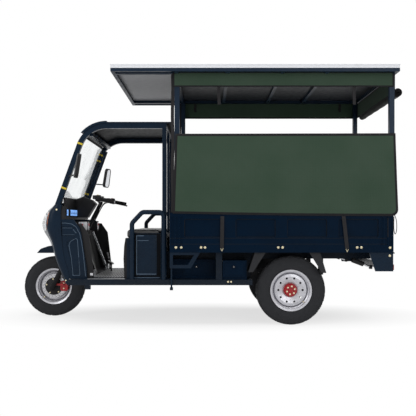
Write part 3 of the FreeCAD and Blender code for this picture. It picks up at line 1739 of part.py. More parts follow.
def guard_plates(side):
    """Slanted sheets in front of and behind a rear wheel, each with a side flange."""
    wall = S.guard_plate_wall
    outer = S.guard_plate_half
    flange = across(side, outer - wall, outer)
    sheet_y = across(side, outer - S.guard_plate_width, outer - wall / 2)
    top = S.bed_bottom - S.seat_gap
    front_low = (rear_axle_x - S.front_guard_foot, S.front_guard_bottom)
    front_high = (rear_axle_x - S.front_guard_top, top)
    rear_end = S.rear_guard_top + S.rear_guard_length
    rear_low = (rear_axle_x + S.rear_guard_foot + S.rear_guard_foot_length, S.rear_guard_bottom)
    rear_high = (rear_axle_x + rear_end, top)
    plates = []
    rows = (
        (front_low, front_high, 1, S.front_guard_length, S.front_guard_foot_length),
        (rear_low, rear_high, -1, S.rear_guard_length, S.rear_guard_foot_length),
    )
    for low, high, way, top_length, foot_length in rows:
        edge = [high, (high[0] + top_length * way, high[1]), (low[0] + foot_length * way, low[1]), low]
        plate = slab("XZ_Plane", edge, flange[0], flange[1], "flange")
        sheet_edge = [high, (high[0] + wall * way, high[1]), (low[0] + wall * way, low[1]), low]
        across_sheet = slab("XZ_Plane", sheet_edge, sheet_y[0], sheet_y[1], "sheet")
        plates.append(fuse([plate, across_sheet], "guard_plate"))
    return plates


keep("rear_mudguards", group(guard_plates("left") + guard_plates("right"), "rear_mudguards"))


# Rear axle, springs, bumper and lamps


def rear_axle():
    """The axle tube with its motor block, brake plates and spindles."""
    tube = S.axle_tube_radius
    spindle_end = wheel_half + S.rear_hub_length
    plate_start = S.axle_tube_half
    plate_end = plate_start + S.brake_plate_wall
    outline = [(0, -spindle_end), (S.rear_spindle_radius, -spindle_end), (S.rear_spindle_radius, -plate_end)]
    outline += [(S.brake_plate_radius, -plate_end), (S.brake_plate_radius, -plate_start), (tube, -plate_start)]
    outline += [(tube, -S.motor_half), (S.motor_radius, -S.motor_half), (S.motor_radius, S.motor_half)]
    outline += [(tube, S.motor_half), (tube, plate_start), (S.brake_plate_radius, plate_start)]
    outline += [(S.brake_plate_radius, plate_end), (S.rear_spindle_radius, plate_end)]
    outline += [(S.rear_spindle_radius, spindle_end), (0, spindle_end)]
    return turned([outline], (rear_axle_x, 0, S.rear_tyre_radius), "rear_axle")


keep("rear_axle", rear_axle())


def leaf_spring(side):
    """A bowed pack of leaves over the axle, hung from the rail at both ends."""
    low = S.rear_tyre_radius + S.axle_tube_radius + S.seat_gap
    high = low + S.spring_wall
    reach = S.spring_reach
    rise = S.spring_rise
    y = across(side, S.spring_half - S.spring_width / 2, S.spring_half + S.spring_width / 2)
    x = rear_axle_x
    bend = reach * 2
    outline = [(x - reach, low + rise), (x, low, bend), (x + reach, low + rise)]
    outline += [(x + reach, high + rise), (x, high, bend), (x - reach, high + rise)]
    leaves = slab("XZ_Plane", outline, y[0], y[1], "leaves")
    top = S.rail_bottom - S.seat_gap
    hangers = []
    for end in (x - reach, x + reach - S.hanger_width):
        hangers.append(box((end, end + S.hanger_width), y, (low + rise, top), "hanger"))
    saddle_half = S.spring_width * 0.75
    saddle = box((x - saddle_half, x + saddle_half), y, (low, low + rise / 2), "saddle")
    return fuse([leaves, saddle] + hangers, "leaf_spring")


keep("leaf_springs", group([leaf_spring("left"), leaf_spring("right")], "leaf_springs"))


def rear_bumper():
    """Two side plates under the bed's rear corners with a bar between them."""
    top = S.bed_bottom - S.seat_gap
    rear = bed_x[1]
    pieces = []
    for side in SIDES:
        y = across(side, S.bumper_half - S.bumper_wall, S.bumper_half)
        outline = [(behind(S.bumper_top_start), top), (rear, top), (rear, S.bumper_bottom)]
        outline += [(behind(S.bumper_foot_start), S.bumper_bottom)]
        pieces.append(slab("XZ_Plane", outline, y[0], y[1], "bumper_plate"))
    half = S.bumper_half - S.bumper_wall / 2
    bar_x = (rear - S.bumper_bar_wall, rear)
    bar_z = (S.bumper_bottom, S.bumper_bottom + S.bumper_bar_height)
    pieces.append(box(bar_x, (-half, half), bar_z, "bumper_bar"))
    return fuse(pieces, "rear_bumper")


keep("rear_bumper", rear_bumper())


def tail_lamps():
    lamps = []
    for side in SIDES:
        y = across(side, S.tail_lamp_half - S.tail_lamp_width / 2, S.tail_lamp_half + S.tail_lamp_width / 2)
        x = (bed_x[1] + S.seat_gap, bed_x[1] + S.tail_lamp_depth)
        low = S.bumper_bottom + (S.bumper_bar_height - S.tail_lamp_height) / 2
        lamps.append(box(x, y, (low, low + S.tail_lamp_height), "tail_lamp"))
    return group(lamps, "tail_lamps")


keep("tail_lamps", tail_lamps())


# Canopy


def canopy_frame():
    """Four posts, the rails at canvas height and the roof's grid of bars, as touching tubes."""
    pieces = []
    level = (S.canopy_frame_level, panel_bottom)
    top = S.canopy_frame_level
    post = S.post_size
    edge_inner = S.roof_half - S.edge_rail_width
    for side in SIDES:
        y = across(side, post_inner, S.bed_half)
        for start in (S.front_post_start, S.rear_post_start):
            x = (behind(start), behind(start + post))
            pieces.append(box(x, y, (bed_top, top), "post"))
        rail_x = (behind(S.roof_front), behind(roof_rear))
        pieces.append(box(rail_x, y, level, "post_rail"))
        edge_y = across(side, edge_inner, S.roof_half)
        pieces.append(box(rail_x, edge_y, level, "edge_rail"))
        side_x = (behind(S.front_post_start + post), behind(S.rear_post_start))
        side_y = across(side, S.bed_half - S.side_rail_size, S.bed_half)
        side_z = (S.side_rail_level, S.side_rail_level + S.side_rail_size)
        pieces.append(box(side_x, side_y, side_z, "canvas_rail"))
    starts = [S.roof_front, S.front_post_start, S.second_bar_start, S.third_bar_start]
    starts += [S.fourth_bar_start, roof_rear - S.cross_bar_width]
    for start in starts:
        x = (behind(start), behind(start + S.cross_bar_width))
        pieces.append(box(x, (-post_inner, post_inner), level, "cross_bar"))
        for side in SIDES:
            pieces.append(box(x, across(side, S.bed_half, edge_inner), level, "cross_bar_end"))
    return group(pieces, "canopy_frame")


keep("canopy_frame", canopy_frame())

roof_low = (behind(S.roof_front), -S.roof_half)
roof_high = (behind(roof_rear), S.roof_half)
roof_outline = rounded_rectangle(roof_low, roof_high, S.roof_edge_round)
roof_top = panel_bottom + S.roof_thickness
keep("roof_panel", slab("XY_Plane", roof_outline, panel_bottom, roof_top, "roof_panel"))


def side_canvas(side):
    """The green sheet that hangs from the canvas rail outside the bed's wall."""
    y = across(side, cloth_inner, cloth_inner + S.canvas_wall)
    low = (behind(S.canvas_front), S.canvas_bottom)
    high = (behind(S.canvas_rear), S.canvas_top)
    corners = rectangle(low, high)
    corners[1] = corners[1] + (S.canvas_round,)
    return slab("XZ_Plane", corners, y[0], y[1], f"side_canvas_{side}")


for side_name in SIDES:
    keep(f"side_canvas_{side_name}", side_canvas(side_name))


def valances():
    """Short curtains below the roof's frame on both sides and at the rear."""
    top = panel_bottom - S.mudguard_wall * 2
    pieces = []
    for side in SIDES:
        y = across(side, cloth_inner, cloth_inner + S.valance_wall)
        x = (behind(S.valance_front), behind(S.valance_rear))
        bottom = S.valance_bottom if side == "left" else S.valance_rear_bottom
        pieces.append(box(x, y, (bottom, top), "valance"))
    rear_x = behind(S.rear_post_start + S.post_size) + S.seat_gap
    x = (rear_x, behind(S.roll_centre - S.roll_radius) - S.seat_gap)
    half = S.bed_half
    pieces.append(box(x, (-half, half), (S.valance_rear_bottom, S.canopy_frame_level), "rear_valance"))
    return cut(group(pieces, "curtains"), kept["canopy_frame"], "valances")


keep("valances", valances())

roll_start = (behind(S.roll_centre), -S.roll_half, S.roll_level)
keep("curtain_roll", rod(roll_start, S.roll_radius, S.roll_half * 2, "Y", "curtain_roll"))


def webbing():
    """Flat straps: one down each front post, and two ties with hooks down each side wall."""
    wall = S.strap_wall
    straps = []
    for side in SIDES:
        y = across(side, S.bed_half - wall, S.bed_half)
        x = (behind(S.post_strap_start), behind(S.post_strap_start + S.strap_width))
        straps.append(box(x, y, (bed_top + S.seat_gap, S.canopy_frame_level), "post_strap"))
        tie_y = across(side, cloth_inner, cloth_inner + wall)
        for start in (S.first_tie_start, S.second_tie_start):
            tie_x = (behind(start), behind(start + S.tie_width))
            tie_z = (S.tie_bottom - S.hook_height, S.canvas_bottom - S.seat_gap)
            straps.append(box(tie_x, tie_y, tie_z, "tie"))
    return group(straps, "webbing_straps")


keep("webbing_straps", webbing())


# Brake pedal


def brake_pedal():
    """A foot pedal on a short post to the right of the column."""
    x = behind(S.pedal_start)
    half = S.pedal_width / 2
    y = (S.pedal_side - half, S.pedal_side + half)
    level = S.floor_level + S.seat_gap
    wall = S.pedal_wall
    post = box((x, x + wall), (S.pedal_side - wall, S.pedal_side + wall), (level, level + S.pedal_rise * 1.12), "post")
    tilt = slab("XZ_Plane", [(x - S.pedal_length / 2, level + S.pedal_rise + S.pedal_length / 2),
                             (x + S.pedal_length / 2, level + S.pedal_rise - wall / 2),
                             (x + S.pedal_length / 2, level + S.pedal_rise + wall / 2),
                             (x - S.pedal_length / 2, level + S.pedal_rise + S.pedal_length / 2 + wall)],
                y[0], y[1], "pad")
    return fuse([post, tilt], "brake_pedal")


keep("brake_pedal", brake_pedal())


# Building, checking and writing


def check(item):
    """Stops if an item failed or is not a sound solid."""
    if "Invalid" in item.State or "Error" in item.State:
        raise RuntimeError(f"{item.Label} failed: {item.State}")


doc.recompute()
for item in doc.Objects:
    check(item)
for label, item in kept.items():
    if item.Shape.isNull() or not item.Shape.isValid() or not item.Shape.Solids:
        raise RuntimeError(f"{label} has no sound solid")
os.makedirs("parts", exist_ok=True)
for label, item in kept.items():
    item.Shape.exportStep(f"parts/{label}.step")
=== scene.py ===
"""Looks for the cargo auto rickshaw: finishes, tyres, cloth, trim, floor, light and camera.

Places are given as in the part's source: millimetres behind the front wheel's centre, millimetres from
the centre line (the left side is negative) and millimetres above the ground.
"""

import math

import bmesh
import bpy
from mathutils import Matrix, Vector
from mathutils.noise import noise as lump


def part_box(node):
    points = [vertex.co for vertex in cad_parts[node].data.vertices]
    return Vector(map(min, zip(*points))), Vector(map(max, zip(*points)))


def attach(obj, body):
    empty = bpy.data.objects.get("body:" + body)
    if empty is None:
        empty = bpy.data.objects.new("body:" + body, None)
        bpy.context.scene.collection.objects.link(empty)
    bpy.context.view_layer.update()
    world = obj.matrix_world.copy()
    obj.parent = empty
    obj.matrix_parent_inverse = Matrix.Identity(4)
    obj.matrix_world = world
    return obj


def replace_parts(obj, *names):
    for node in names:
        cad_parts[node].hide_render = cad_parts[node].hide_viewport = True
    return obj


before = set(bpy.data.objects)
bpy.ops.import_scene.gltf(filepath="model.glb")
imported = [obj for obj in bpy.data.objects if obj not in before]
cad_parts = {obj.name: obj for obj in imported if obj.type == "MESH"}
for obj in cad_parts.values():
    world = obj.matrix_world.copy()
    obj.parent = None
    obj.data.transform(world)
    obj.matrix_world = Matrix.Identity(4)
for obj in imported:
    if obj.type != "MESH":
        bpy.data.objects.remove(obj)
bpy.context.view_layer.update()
bpy.context.scene.view_settings.view_transform = "Standard"

MM = 0.001
ORIGIN_SHIFT = 1349.5
SIDES = {"left": -1, "right": 1}
FULL_TURN = math.tau
LEAN = math.radians(20)  # of the windscreen and the front pillars


def at(behind, across, level):
    """A point in metres from millimetres behind the front wheel, across and above the ground."""
    return Vector(((behind - ORIGIN_SHIFT) * MM, across * MM, level * MM))


def box_mm(node):
    """A frame node's front, rear, right side, bottom and top in the source's millimetres."""
    low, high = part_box(node)
    return low[0] / MM + ORIGIN_SHIFT, high[0] / MM + ORIGIN_SHIFT, high[1] / MM, low[2] / MM, high[2] / MM


def between(start, end, share):
    """The place at a share of the way from one place to another."""
    return [first + (last - first) * share for first, last in zip(start, end)]


def new_object(name, bm):
    """Puts a finished mesh into the scene as an object and frees its working copy."""
    mesh = bpy.data.meshes.new(name)
    bm.to_mesh(mesh)
    bm.free()
    made = bpy.data.objects.new(name, mesh)
    bpy.context.scene.collection.objects.link(made)
    return made


# Colours and material nodes

ACRYLIC_IOR = 1.49


def hex_colour(text):
    """An sRGB hex value as linear red, green, blue and alpha."""
    values = [int(text[i:i + 2], 16) / 255 for i in (1, 3, 5)]
    return [v / 12.92 if v <= 0.04045 else ((v + 0.055) / 1.055) ** 2.4 for v in values] + [1.0]


def add(tree, kind, inputs=None, **settings):
    """Adds a node with its settings; each input is a socket to link, a hex colour or a plain value."""
    node = tree.nodes.new(kind)
    for name, value in settings.items():
        setattr(node, name, value)
    for socket, value in (inputs or {}).items():
        if isinstance(value, bpy.types.NodeSocket):
            tree.links.new(value, node.inputs[socket])
        else:
            node.inputs[socket].default_value = hex_colour(value) if isinstance(value, str) else value
    return node


def span(source, low, high, to_low=0.0, to_high=1.0):
    """Inputs that map a value from one range to another."""
    return {"Value": source, "From Min": low, "From Max": high, "To Min": to_low, "To Max": to_high}


def new_finish(name, shader_values):
    """A material with one Principled shader and Object coordinates to build its pattern on."""
    material = bpy.data.materials.new(name)
    material.use_nodes = True
    tree = material.node_tree
    tree.nodes.clear()
    shader = add(tree, "ShaderNodeBsdfPrincipled", shader_values)
    add(tree, "ShaderNodeOutputMaterial", {"Surface": shader.outputs[0]})
    place = add(tree, "ShaderNodeTexCoord").outputs["Object"]
    return material, tree, shader, place


def reopened(material):
    """A finish's node tree, its shader and its texture coordinates, to build on."""
    tree = material.node_tree
    shader = next(node for node in tree.nodes if node.type == "BSDF_PRINCIPLED")
    return tree, shader, next(node for node in tree.nodes if node.type == "TEX_COORD").outputs


def wire(shader, socket, source):
    """Links a source to one of a shader's sockets."""
    shader.id_data.links.new(source, shader.inputs[socket])


def blotches(tree, place, size_mm, detail=3.0, stretch=None):
    """Soft blotches from 0 to 1 about size_mm across, longer along an axis with a small stretch."""
    if stretch:
        place = add(tree, "ShaderNodeMapping", {"Vector": place, "Scale": stretch}).outputs[0]
    inputs = {"Vector": place, "Scale": 1000.0 / size_mm, "Detail": detail, "Roughness": 0.55}
    return add(tree, "ShaderNodeTexNoise", inputs).outputs["Fac"]


def wander(tree, place, size_mm, low, high):
    """A value that wanders between two limits over blotches about size_mm across."""
    spots = blotches(tree, place, size_mm)
    return add(tree, "ShaderNodeMapRange", span(spots, 0.3, 0.7, low, high)).outputs[0]


def tint(shader, share, colour):
    """Lays a hex colour or a colour socket over what a surface has so far, by a share from 0 to 1."""
    base = shader.inputs["Base Color"]
    below = base.links[0].from_socket if base.is_linked else base.default_value[:]
    inputs = {0: share, 6: below, 7: colour}
    wire(shader, "Base Color", add(shader.id_data, "ShaderNodeMix", inputs, data_type="RGBA").outputs[2])


def relief(tree, shader, heights):
    """Roughens a surface's normal by patterns, each a (height socket, depth in millimetres) pair."""
    inputs = {"Strength": 1.0}
    for height, depth_mm in heights:
        inputs.update({"Height": height, "Distance": depth_mm * MM})
        inputs["Normal"] = add(tree, "ShaderNodeBump", inputs).outputs[0]
    wire(shader, "Normal", inputs["Normal"])


def paint(name, colour, roughness=0.28, coat=0.04, dust=0.035, shine=0.09, mottle=0.22):
    """Sprayed enamel on steel sheet: an even gloss, fine orange peel, and road dust towards the ground."""
    values = {"Base Color": colour, "Roughness": roughness, "Specular IOR Level": shine,
              "Coat Weight": coat, "Coat Roughness": 0.12}
    material, tree, shader, place = new_finish(name, values)
    tint(shader, wander(tree, place, 160.0, 0.0, mottle), "#0b0d12")
    height = add(tree, "ShaderNodeSeparateXYZ", {"Vector": place}).outputs["Z"]
    low = add(tree, "ShaderNodeMapRange", span(height, 900.0 * MM, 150.0 * MM)).outputs[0]
    grit = add(tree, "ShaderNodeMapRange", span(blotches(tree, place, 9.0, 5.0), 0.35, 0.75)).outputs[0]
    film = add(tree, "ShaderNodeMath", {0: low, 1: grit}, operation="MULTIPLY").outputs[0]
    film = add(tree, "ShaderNodeMath", {0: film, 1: dust}, operation="MULTIPLY").outputs[0]
    tint(shader, film, "#8c8579")
    wire(shader, "Roughness", wander(tree, place, 45.0, roughness - 0.05, roughness + 0.08))
    relief(tree, shader, [(blotches(tree, place, 5.0, 2.0), 0.05)])
    return material


def moulded(name, colour, roughness=0.55, grain_mm=2.2, depth_mm=0.10, shine=0.2):
    """Injection-moulded plastic or rubber with a fine leather-like grain that breaks up the gloss."""
    values = {"Base Color": colour, "Roughness": roughness, "Specular IOR Level": shine}
    material, tree, shader, place = new_finish(name, values)
    tint(shader, wander(tree, place, 60.0, 0.0, 0.18), "#3a3a3c")
    cells = add(tree, "ShaderNodeTexVoronoi", {"Vector": place, "Scale": 1000.0 / grain_mm})
    relief(tree, shader, [(cells.outputs["Distance"], depth_mm)])
    wire(shader, "Roughness", wander(tree, place, 30.0, roughness - 0.07, roughness + 0.07))
    return material


def metal(name, colour, roughness, streak=None, depth_mm=0.02, metallic=1.0):
    """Bare or plated metal: streak gives the stretch of its brushing, and fine grain varies its gloss."""
    values = {"Base Color": colour, "Metallic": metallic, "Roughness": roughness}
    material, tree, shader, place = new_finish(name, values)
    tint(shader, wander(tree, place, 25.0, 0.0, 0.25), "#5c5c60")
    grain = blotches(tree, place, 1.6, 2.0, streak)
    gloss = add(tree, "ShaderNodeMapRange", span(grain, 0.3, 0.7, roughness * 0.8, roughness * 1.25))
    wire(shader, "Roughness", gloss.outputs[0])
    relief(tree, shader, [(grain, depth_mm)])
    return material


def clear(name, colour, roughness=0.03, weight=1.0):
    """Clear sheet or lens: light goes through, with a faint smear in the gloss."""
    values = {"Base Color": colour, "Transmission Weight": weight, "IOR": ACRYLIC_IOR}
    material, tree, shader, place = new_finish(name, values)
    smear = blotches(tree, place, 120.0, 2.0, (1.0, 1.0, 0.3))
    gloss = add(tree, "ShaderNodeMapRange", span(smear, 0.35, 0.7, roughness, roughness + 0.06))
    wire(shader, "Roughness", gloss.outputs[0])
    return material


def wave_scale(pitch_mm):
    """The Wave texture's scale for bands that repeat at a pitch."""
    return 1000.0 / pitch_mm / FULL_TURN * 0.5


def cloth(name, colour, shade, thread_mm=3.2):
    """Coated canvas: a plain weave, coarser than its 0.6 mm threads so that it shows, and a soft bloom."""
    values = {"Base Color": colour, "Roughness": 0.82, "Specular IOR Level": 0.2,
              "Sheen Weight": 0.08, "Sheen Roughness": 0.5}
    material, tree, shader, place = new_finish(name, values)
    faded = add(tree, "ShaderNodeMapRange", span(blotches(tree, place, 260.0, 4.0), 0.3, 0.72)).outputs[0]
    tint(shader, faded, shade)
    weave = {}
    for number, direction in enumerate("XZ"):
        inputs = {"Vector": place, "Scale": wave_scale(thread_mm), "Distortion": 0.6}
        wave = add(tree, "ShaderNodeTexWave", inputs, bands_direction=direction)
        weave[number] = wave.outputs["Fac"]
    threads = add(tree, "ShaderNodeMath", weave, operation="MULTIPLY").outputs[0]
    gaps = add(tree, "ShaderNodeMapRange", span(threads, 0.0, 1.0, 0.10, 0.0)).outputs[0]
    tint(shader, gaps, "#10140f")
    relief(tree, shader, [(threads, 0.18), (blotches(tree, place, 34.0), 0.8)])
    return material


def glow(name, colour, strength):
    """A lit part behind clear plastic."""
    values = {"Base Color": colour, "Emission Color": colour, "Roughness": 0.2}
    material, tree, shader, place = new_finish(name, values)
    spots = span(blotches(tree, place, 18.0, 1.0), 0.2, 0.8, strength * 0.85, strength * 1.1)
    wire(shader, "Emission Strength", add(tree, "ShaderNodeMapRange", spots).outputs[0])
    return material


NAVY = "#0b1f31"
ROOF_WHITE = "#eceef3"

# Enamel sprayed on steel sheet and tube: an even, quiet gloss, duller on the frame below.
enamel_navy = paint("enamel_navy", NAVY)
enamel_post = paint("enamel_post_blue", "#1d2c3d", roughness=0.36)
enamel_black = paint("enamel_black", "#111215", roughness=0.38, coat=0.05)
enamel_dark = paint("enamel_under_frame", "#0c1a28", roughness=0.45, coat=0.02, dust=0.08)
enamel_bed = paint("enamel_bed", "#04182b", roughness=0.3, coat=0.0, dust=0.02, shine=0.03)
# A pale bluish enamel whose colour is a painted highlight, for strips on pressed edges and beads.
painted_highlight_enamel = paint("enamel_painted_highlight", "#5d6f82", roughness=0.3, coat=0.05, dust=0.0)
enamel_seat = paint("enamel_seat_side", "#081d2f", roughness=0.26, coat=0.05, dust=0.02)
# Near-black gloss for the dark joint at the nose, and for painted shade at the seat box's gaps and recesses.
gloss_black_and_painted_shade = paint("enamel_gloss_black_and_painted_shade", "#05070b", roughness=0.25, coat=0.0, dust=0.0, shine=0.05)
enamel_white = paint("enamel_roof_white", ROOF_WHITE, roughness=0.40, coat=0.05, dust=0.0, mottle=0.03)
enamel_grey = paint("enamel_lining_grey", "#8a8a8e", roughness=0.5, coat=0.0, dust=0.0)
red_paint = paint("enamel_red", "#b01c24", roughness=0.3, coat=0.5, dust=0.04)

# Moulded plastic, rubber, vinyl and rough cast iron: a grain that breaks the light up; vinyl shines most.
plastic_black = moulded("abs_black", "#161618")
plastic_guard = moulded("pp_mudguard", "#26272a", roughness=0.62, grain_mm=3.0, depth_mm=0.12)
rubber_black = moulded("rubber_grip", "#141415", roughness=0.75, grain_mm=1.8, depth_mm=0.2)
vinyl_black = moulded("seat_vinyl", "#1b1b1d", roughness=0.36, grain_mm=2.6, depth_mm=0.25, shine=0.6)
tyre_rubber = moulded("tyre_rubber", "#2a2b2e", roughness=0.8, grain_mm=2.4, depth_mm=0.15)
# Black rubber for seals and frames, also used for painted shade: dark lines on the bed sides and dark dots
# for the disc's drillings.
seal_black_and_painted_shade = moulded("epdm_seal_and_painted_shade", "#121213", roughness=0.7, grain_mm=1.6, depth_mm=0.05)
cable_black = moulded("cable_sheath", "#0f0f10", roughness=0.6, grain_mm=1.2, depth_mm=0.04)
mat_grey = moulded("floor_mat", "#2c2c2e", roughness=0.6, grain_mm=3.0, depth_mm=0.3)
# A pale colour that paints highlights onto the mat's ribs and edge strips.
mat_rib_painted_highlight = moulded("floor_mat_rib_painted_highlight", "#c3c4c6", roughness=0.35, grain_mm=3.0, depth_mm=0.1)
tape_yellow = moulded("tape_yellow", "#e0c63c", roughness=0.45, grain_mm=2.0, depth_mm=0.03)
indicator_amber = moulded("indicator_amber", "#e0700f", roughness=0.3, grain_mm=2.4, depth_mm=0.05)
button_red = moulded("button_red", "#b8262a", roughness=0.4, grain_mm=1.5, depth_mm=0.02)
iron_black = moulded("cast_iron_painted", "#1c1c1e", roughness=0.6, grain_mm=5.0, depth_mm=0.3)

# Metal that is painted silver, ground or plated: small bright spots, and streaks where it is ground.
silver_paint = metal("rim_silver_paint", "#c8c8ce", roughness=0.32, metallic=0.55)
box_silver = metal("switch_box_silver", "#e6e6ea", roughness=0.4, metallic=0.2)
stay_silver = metal("stay_silver", "#f8fbff", roughness=0.2, metallic=0.75)
bright_steel = metal("ground_steel", "#b9b9bc", roughness=0.3, streak=(1.0, 14.0, 1.0))
chrome = metal("chrome_plate", "#d4d4d8", roughness=0.1)
bolt_zinc = metal("zinc_bolt", "#e8dcb8", roughness=0.35, metallic=0.5)
lamp_bowl = metal("lamp_reflector", "#dfe2e6", roughness=0.12)
mirror_silver = metal("mirror_silver", "#e4e6ea", roughness=0.03, depth_mm=0.001)

# Coated canvas, tape and webbing: matt, with a weave that shows from near by.
canvas_green = cloth("canvas_green", "#3b4d3f", "#344839")
canvas_dark = cloth("canvas_rolled", "#121512", "#0d0f0e")
binding_black = cloth("binding_tape", "#1c1b1e", "#161518", thread_mm=2.4)
webbing = cloth("webbing_polyester", "#2b2a2c", "#1f1e20", thread_mm=2.0)

# Acrylic sheet, lamp lenses and a lit display: what lies behind shows through a thin gloss.
pane_clear = clear("acrylic_pane", "#f2f5f6", roughness=0.03)
lens_clear = clear("lamp_lens", "#eef1f3", roughness=0.04, weight=0.85)
lens_red = clear("lens_red", "#a81410", roughness=0.12, weight=0.5)
lcd_glow = glow("lcd_lit", "#7fb0f6", strength=1.0)

# Camera, floor and light

PICTURE_PIXELS = 416
FOCAL_PIXELS = 578.5
SHIFT_PIXELS = 13.0
SENSOR_MM = 36.0
CAMERA_PLACE = (1385.0, -5251.0, 854.0)
FLOOR_HALF = 30.0
WHITE = "#ffffff"

camera_data = bpy.data.cameras.new("camera")
camera_data.sensor_width = SENSOR_MM
camera_data.lens = FOCAL_PIXELS / PICTURE_PIXELS * SENSOR_MM
camera_data.shift_y = SHIFT_PIXELS / PICTURE_PIXELS
camera = bpy.data.objects.new("camera", camera_data)
camera.location = at(*CAMERA_PLACE)
camera.rotation_euler = (math.radians(90), 0, 0)
bpy.context.scene.collection.objects.link(camera)
bpy.context.scene.camera = camera


def seen_share(tree):
    """1 for what is seen directly, in gloss or through glass, and 0 for all other light."""
    path = add(tree, "ShaderNodeLightPath").outputs
    seen = path["Is Camera Ray"]
    for ray in ("Is Glossy Ray", "Is Transmission Ray"):
        seen = add(tree, "ShaderNodeMath", {0: seen, 1: path[ray]}, operation="ADD").outputs[0]
    return add(tree, "ShaderNodeMath", {0: seen, 1: 1.0}, operation="MINIMUM").outputs[0]


def studio_floor():
    """A pale floor that keeps the shadow near the vehicle and runs out to plain white."""
    bm = bmesh.new()
    bmesh.ops.create_grid(bm, x_segments=8, y_segments=8, size=FLOOR_HALF)
    floor = new_object("floor", bm)
    material = bpy.data.materials.new("studio_floor")
    material.use_nodes = True
    tree = material.node_tree
    tree.nodes.clear()
    place = add(tree, "ShaderNodeTexCoord").outputs["Object"]
    squeezed = add(tree, "ShaderNodeMapping", {"Vector": place, "Scale": (0.42, 1.15, 1.0)}).outputs[0]
    distance = add(tree, "ShaderNodeVectorMath", {0: squeezed}, operation="LENGTH").outputs["Value"]
    far = add(tree, "ShaderNodeMapRange", span(distance, 0.45, 0.95, 0.70, 1.0)).outputs[0]
    painted = add(tree, "ShaderNodeBsdfDiffuse", {"Color": "#f6f6f6"}).outputs[0]
    white = add(tree, "ShaderNodeEmission", {"Color": WHITE, "Strength": 1.0}).outputs[0]
    share = add(tree, "ShaderNodeMath", {0: far, 1: seen_share(tree)}, operation="MULTIPLY").outputs[0]
    mixed = add(tree, "ShaderNodeMixShader", {0: share, 1: painted, 2: white}).outputs[0]
    add(tree, "ShaderNodeOutputMaterial", {"Surface": mixed})
    floor.data.materials.append(material)


def studio_world(strength):
    """White seen directly, in gloss and through glass, and a plain soft light otherwise."""
    world = bpy.data.worlds.new("studio")
    bpy.context.scene.world = world
    world.use_nodes = True
    tree = world.node_tree
    tree.nodes.clear()
    power = add(tree, "ShaderNodeMapRange", span(seen_share(tree), 0.0, 1.0, strength, 1.0)).outputs[0]
    light = add(tree, "ShaderNodeBackground", {"Color": WHITE, "Strength": power}).outputs[0]
    add(tree, "ShaderNodeOutputWorld", {"Surface": light})


def soft_box(name, spot, target, size, watts):
    """A large rectangular lamp that faces a point."""
    data = bpy.data.lights.new(name, "AREA")
    data.shape = "RECTANGLE"
    data.size, data.size_y = size
    data.energy = watts
    lamp = bpy.data.objects.new(name, data)
    lamp.location = spot
    lamp.rotation_euler = (Vector(target) - Vector(spot)).to_track_quat("-Z", "Y").to_euler()
    bpy.context.scene.collection.objects.link(lamp)


studio_floor()
studio_world(strength=0.40)
soft_box("top_light", (0.2, -0.8, 5.2), (0.0, 0.0, 0.8), (5.0, 3.4), 120.0)
soft_box("front_light", (-4.2, -3.6, 2.6), (-0.4, 0.0, 0.9), (2.6, 2.6), 66.0)
soft_box("side_light", (2.6, -4.6, 2.2), (0.3, 0.0, 0.9), (3.0, 2.2), 44.0)


# Shapes


class Piece:
    """An object in the making: shapes join it one by one, each with its own finish."""

    def __init__(self, name):
        self.name = name
        self.bm = bmesh.new()
        self.finishes = []

    def join(self, shape, finish):
        """Takes a shape's faces over and frees the shape."""
        if finish not in self.finishes:
            self.finishes.append(finish)
        for face in shape.faces:
            face.material_index = self.finishes.index(finish)
        step = bpy.data.meshes.new("step")
        shape.to_mesh(step)
        shape.free()
        self.bm.from_mesh(step)
        bpy.data.meshes.remove(step)

    def done(self, body, instead_of=(), angle=38, recalculate=True):
        """Makes the object, lets it ride on a body and hides the frame's nodes that it stands for."""
        if recalculate:
            bmesh.ops.recalc_face_normals(self.bm, faces=self.bm.faces[:])
        piece = new_object(self.name, self.bm)
        for finish in self.finishes:
            piece.data.materials.append(finish)
        piece.data.shade_smooth()
        piece.data.set_sharp_from_angle(angle=math.radians(angle))
        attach(piece, body)
        if instead_of:
            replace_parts(piece, *instead_of)


def rounded(bm, edges, size_mm, segments=2):
    """Rounds edges with an even bevel."""
    bmesh.ops.bevel(bm, geom=edges, offset=size_mm * MM, segments=segments, profile=0.5, affect="EDGES",
                    material=-1, clamp_overlap=True)


def block(low, high, edge, segments=2):
    """A block between two places, its edges rounded by a size in millimetres."""
    low, high = at(*low), at(*high)
    bm = bmesh.new()
    scale = Matrix.Diagonal((*[abs(length) for length in high - low], 1.0))
    bmesh.ops.create_cube(bm, size=1.0, matrix=Matrix.Translation((low + high) / 2) @ scale)
    rounded(bm, bm.edges[:], edge, segments)
    return bm


def bar(start, end, radius, sides, edge):
    """A round or many-sided bar between two places, with softened rims."""
    start, end = at(*start), at(*end)
    along = end - start
    matrix = Matrix.Translation((start + end) / 2) @ along.to_track_quat("Z", "Y").to_matrix().to_4x4()
    bm = bmesh.new()
    bmesh.ops.create_cone(bm, cap_ends=True, segments=sides, radius1=radius * MM, radius2=radius * MM,
                          depth=along.length, matrix=matrix)
    rims = [rim for rim in bm.edges if any(len(face.verts) == sides for face in rim.link_faces)]
    rounded(bm, rims, edge)
    return bm


def turned(profile, centre, axis, steps, closed=False):
    """Spins a profile of (distance along, radius) in millimetres about an axis through a point."""
    bm = bmesh.new()
    axis = Vector(axis).normalized()
    out = axis.orthogonal().normalized()
    corners = [bm.verts.new(centre + (axis * along + out * radius) * MM) for along, radius in profile]
    edges = [bm.edges.new(pair) for pair in zip(corners, corners[1:])]
    if closed:
        edges.append(bm.edges.new((corners[-1], corners[0])))
    bmesh.ops.spin(bm, geom=corners + edges, cent=centre, axis=axis, angle=FULL_TURN, steps=steps,
                   use_merge=True)
    bmesh.ops.remove_doubles(bm, verts=bm.verts[:], dist=1e-6)
    return bm


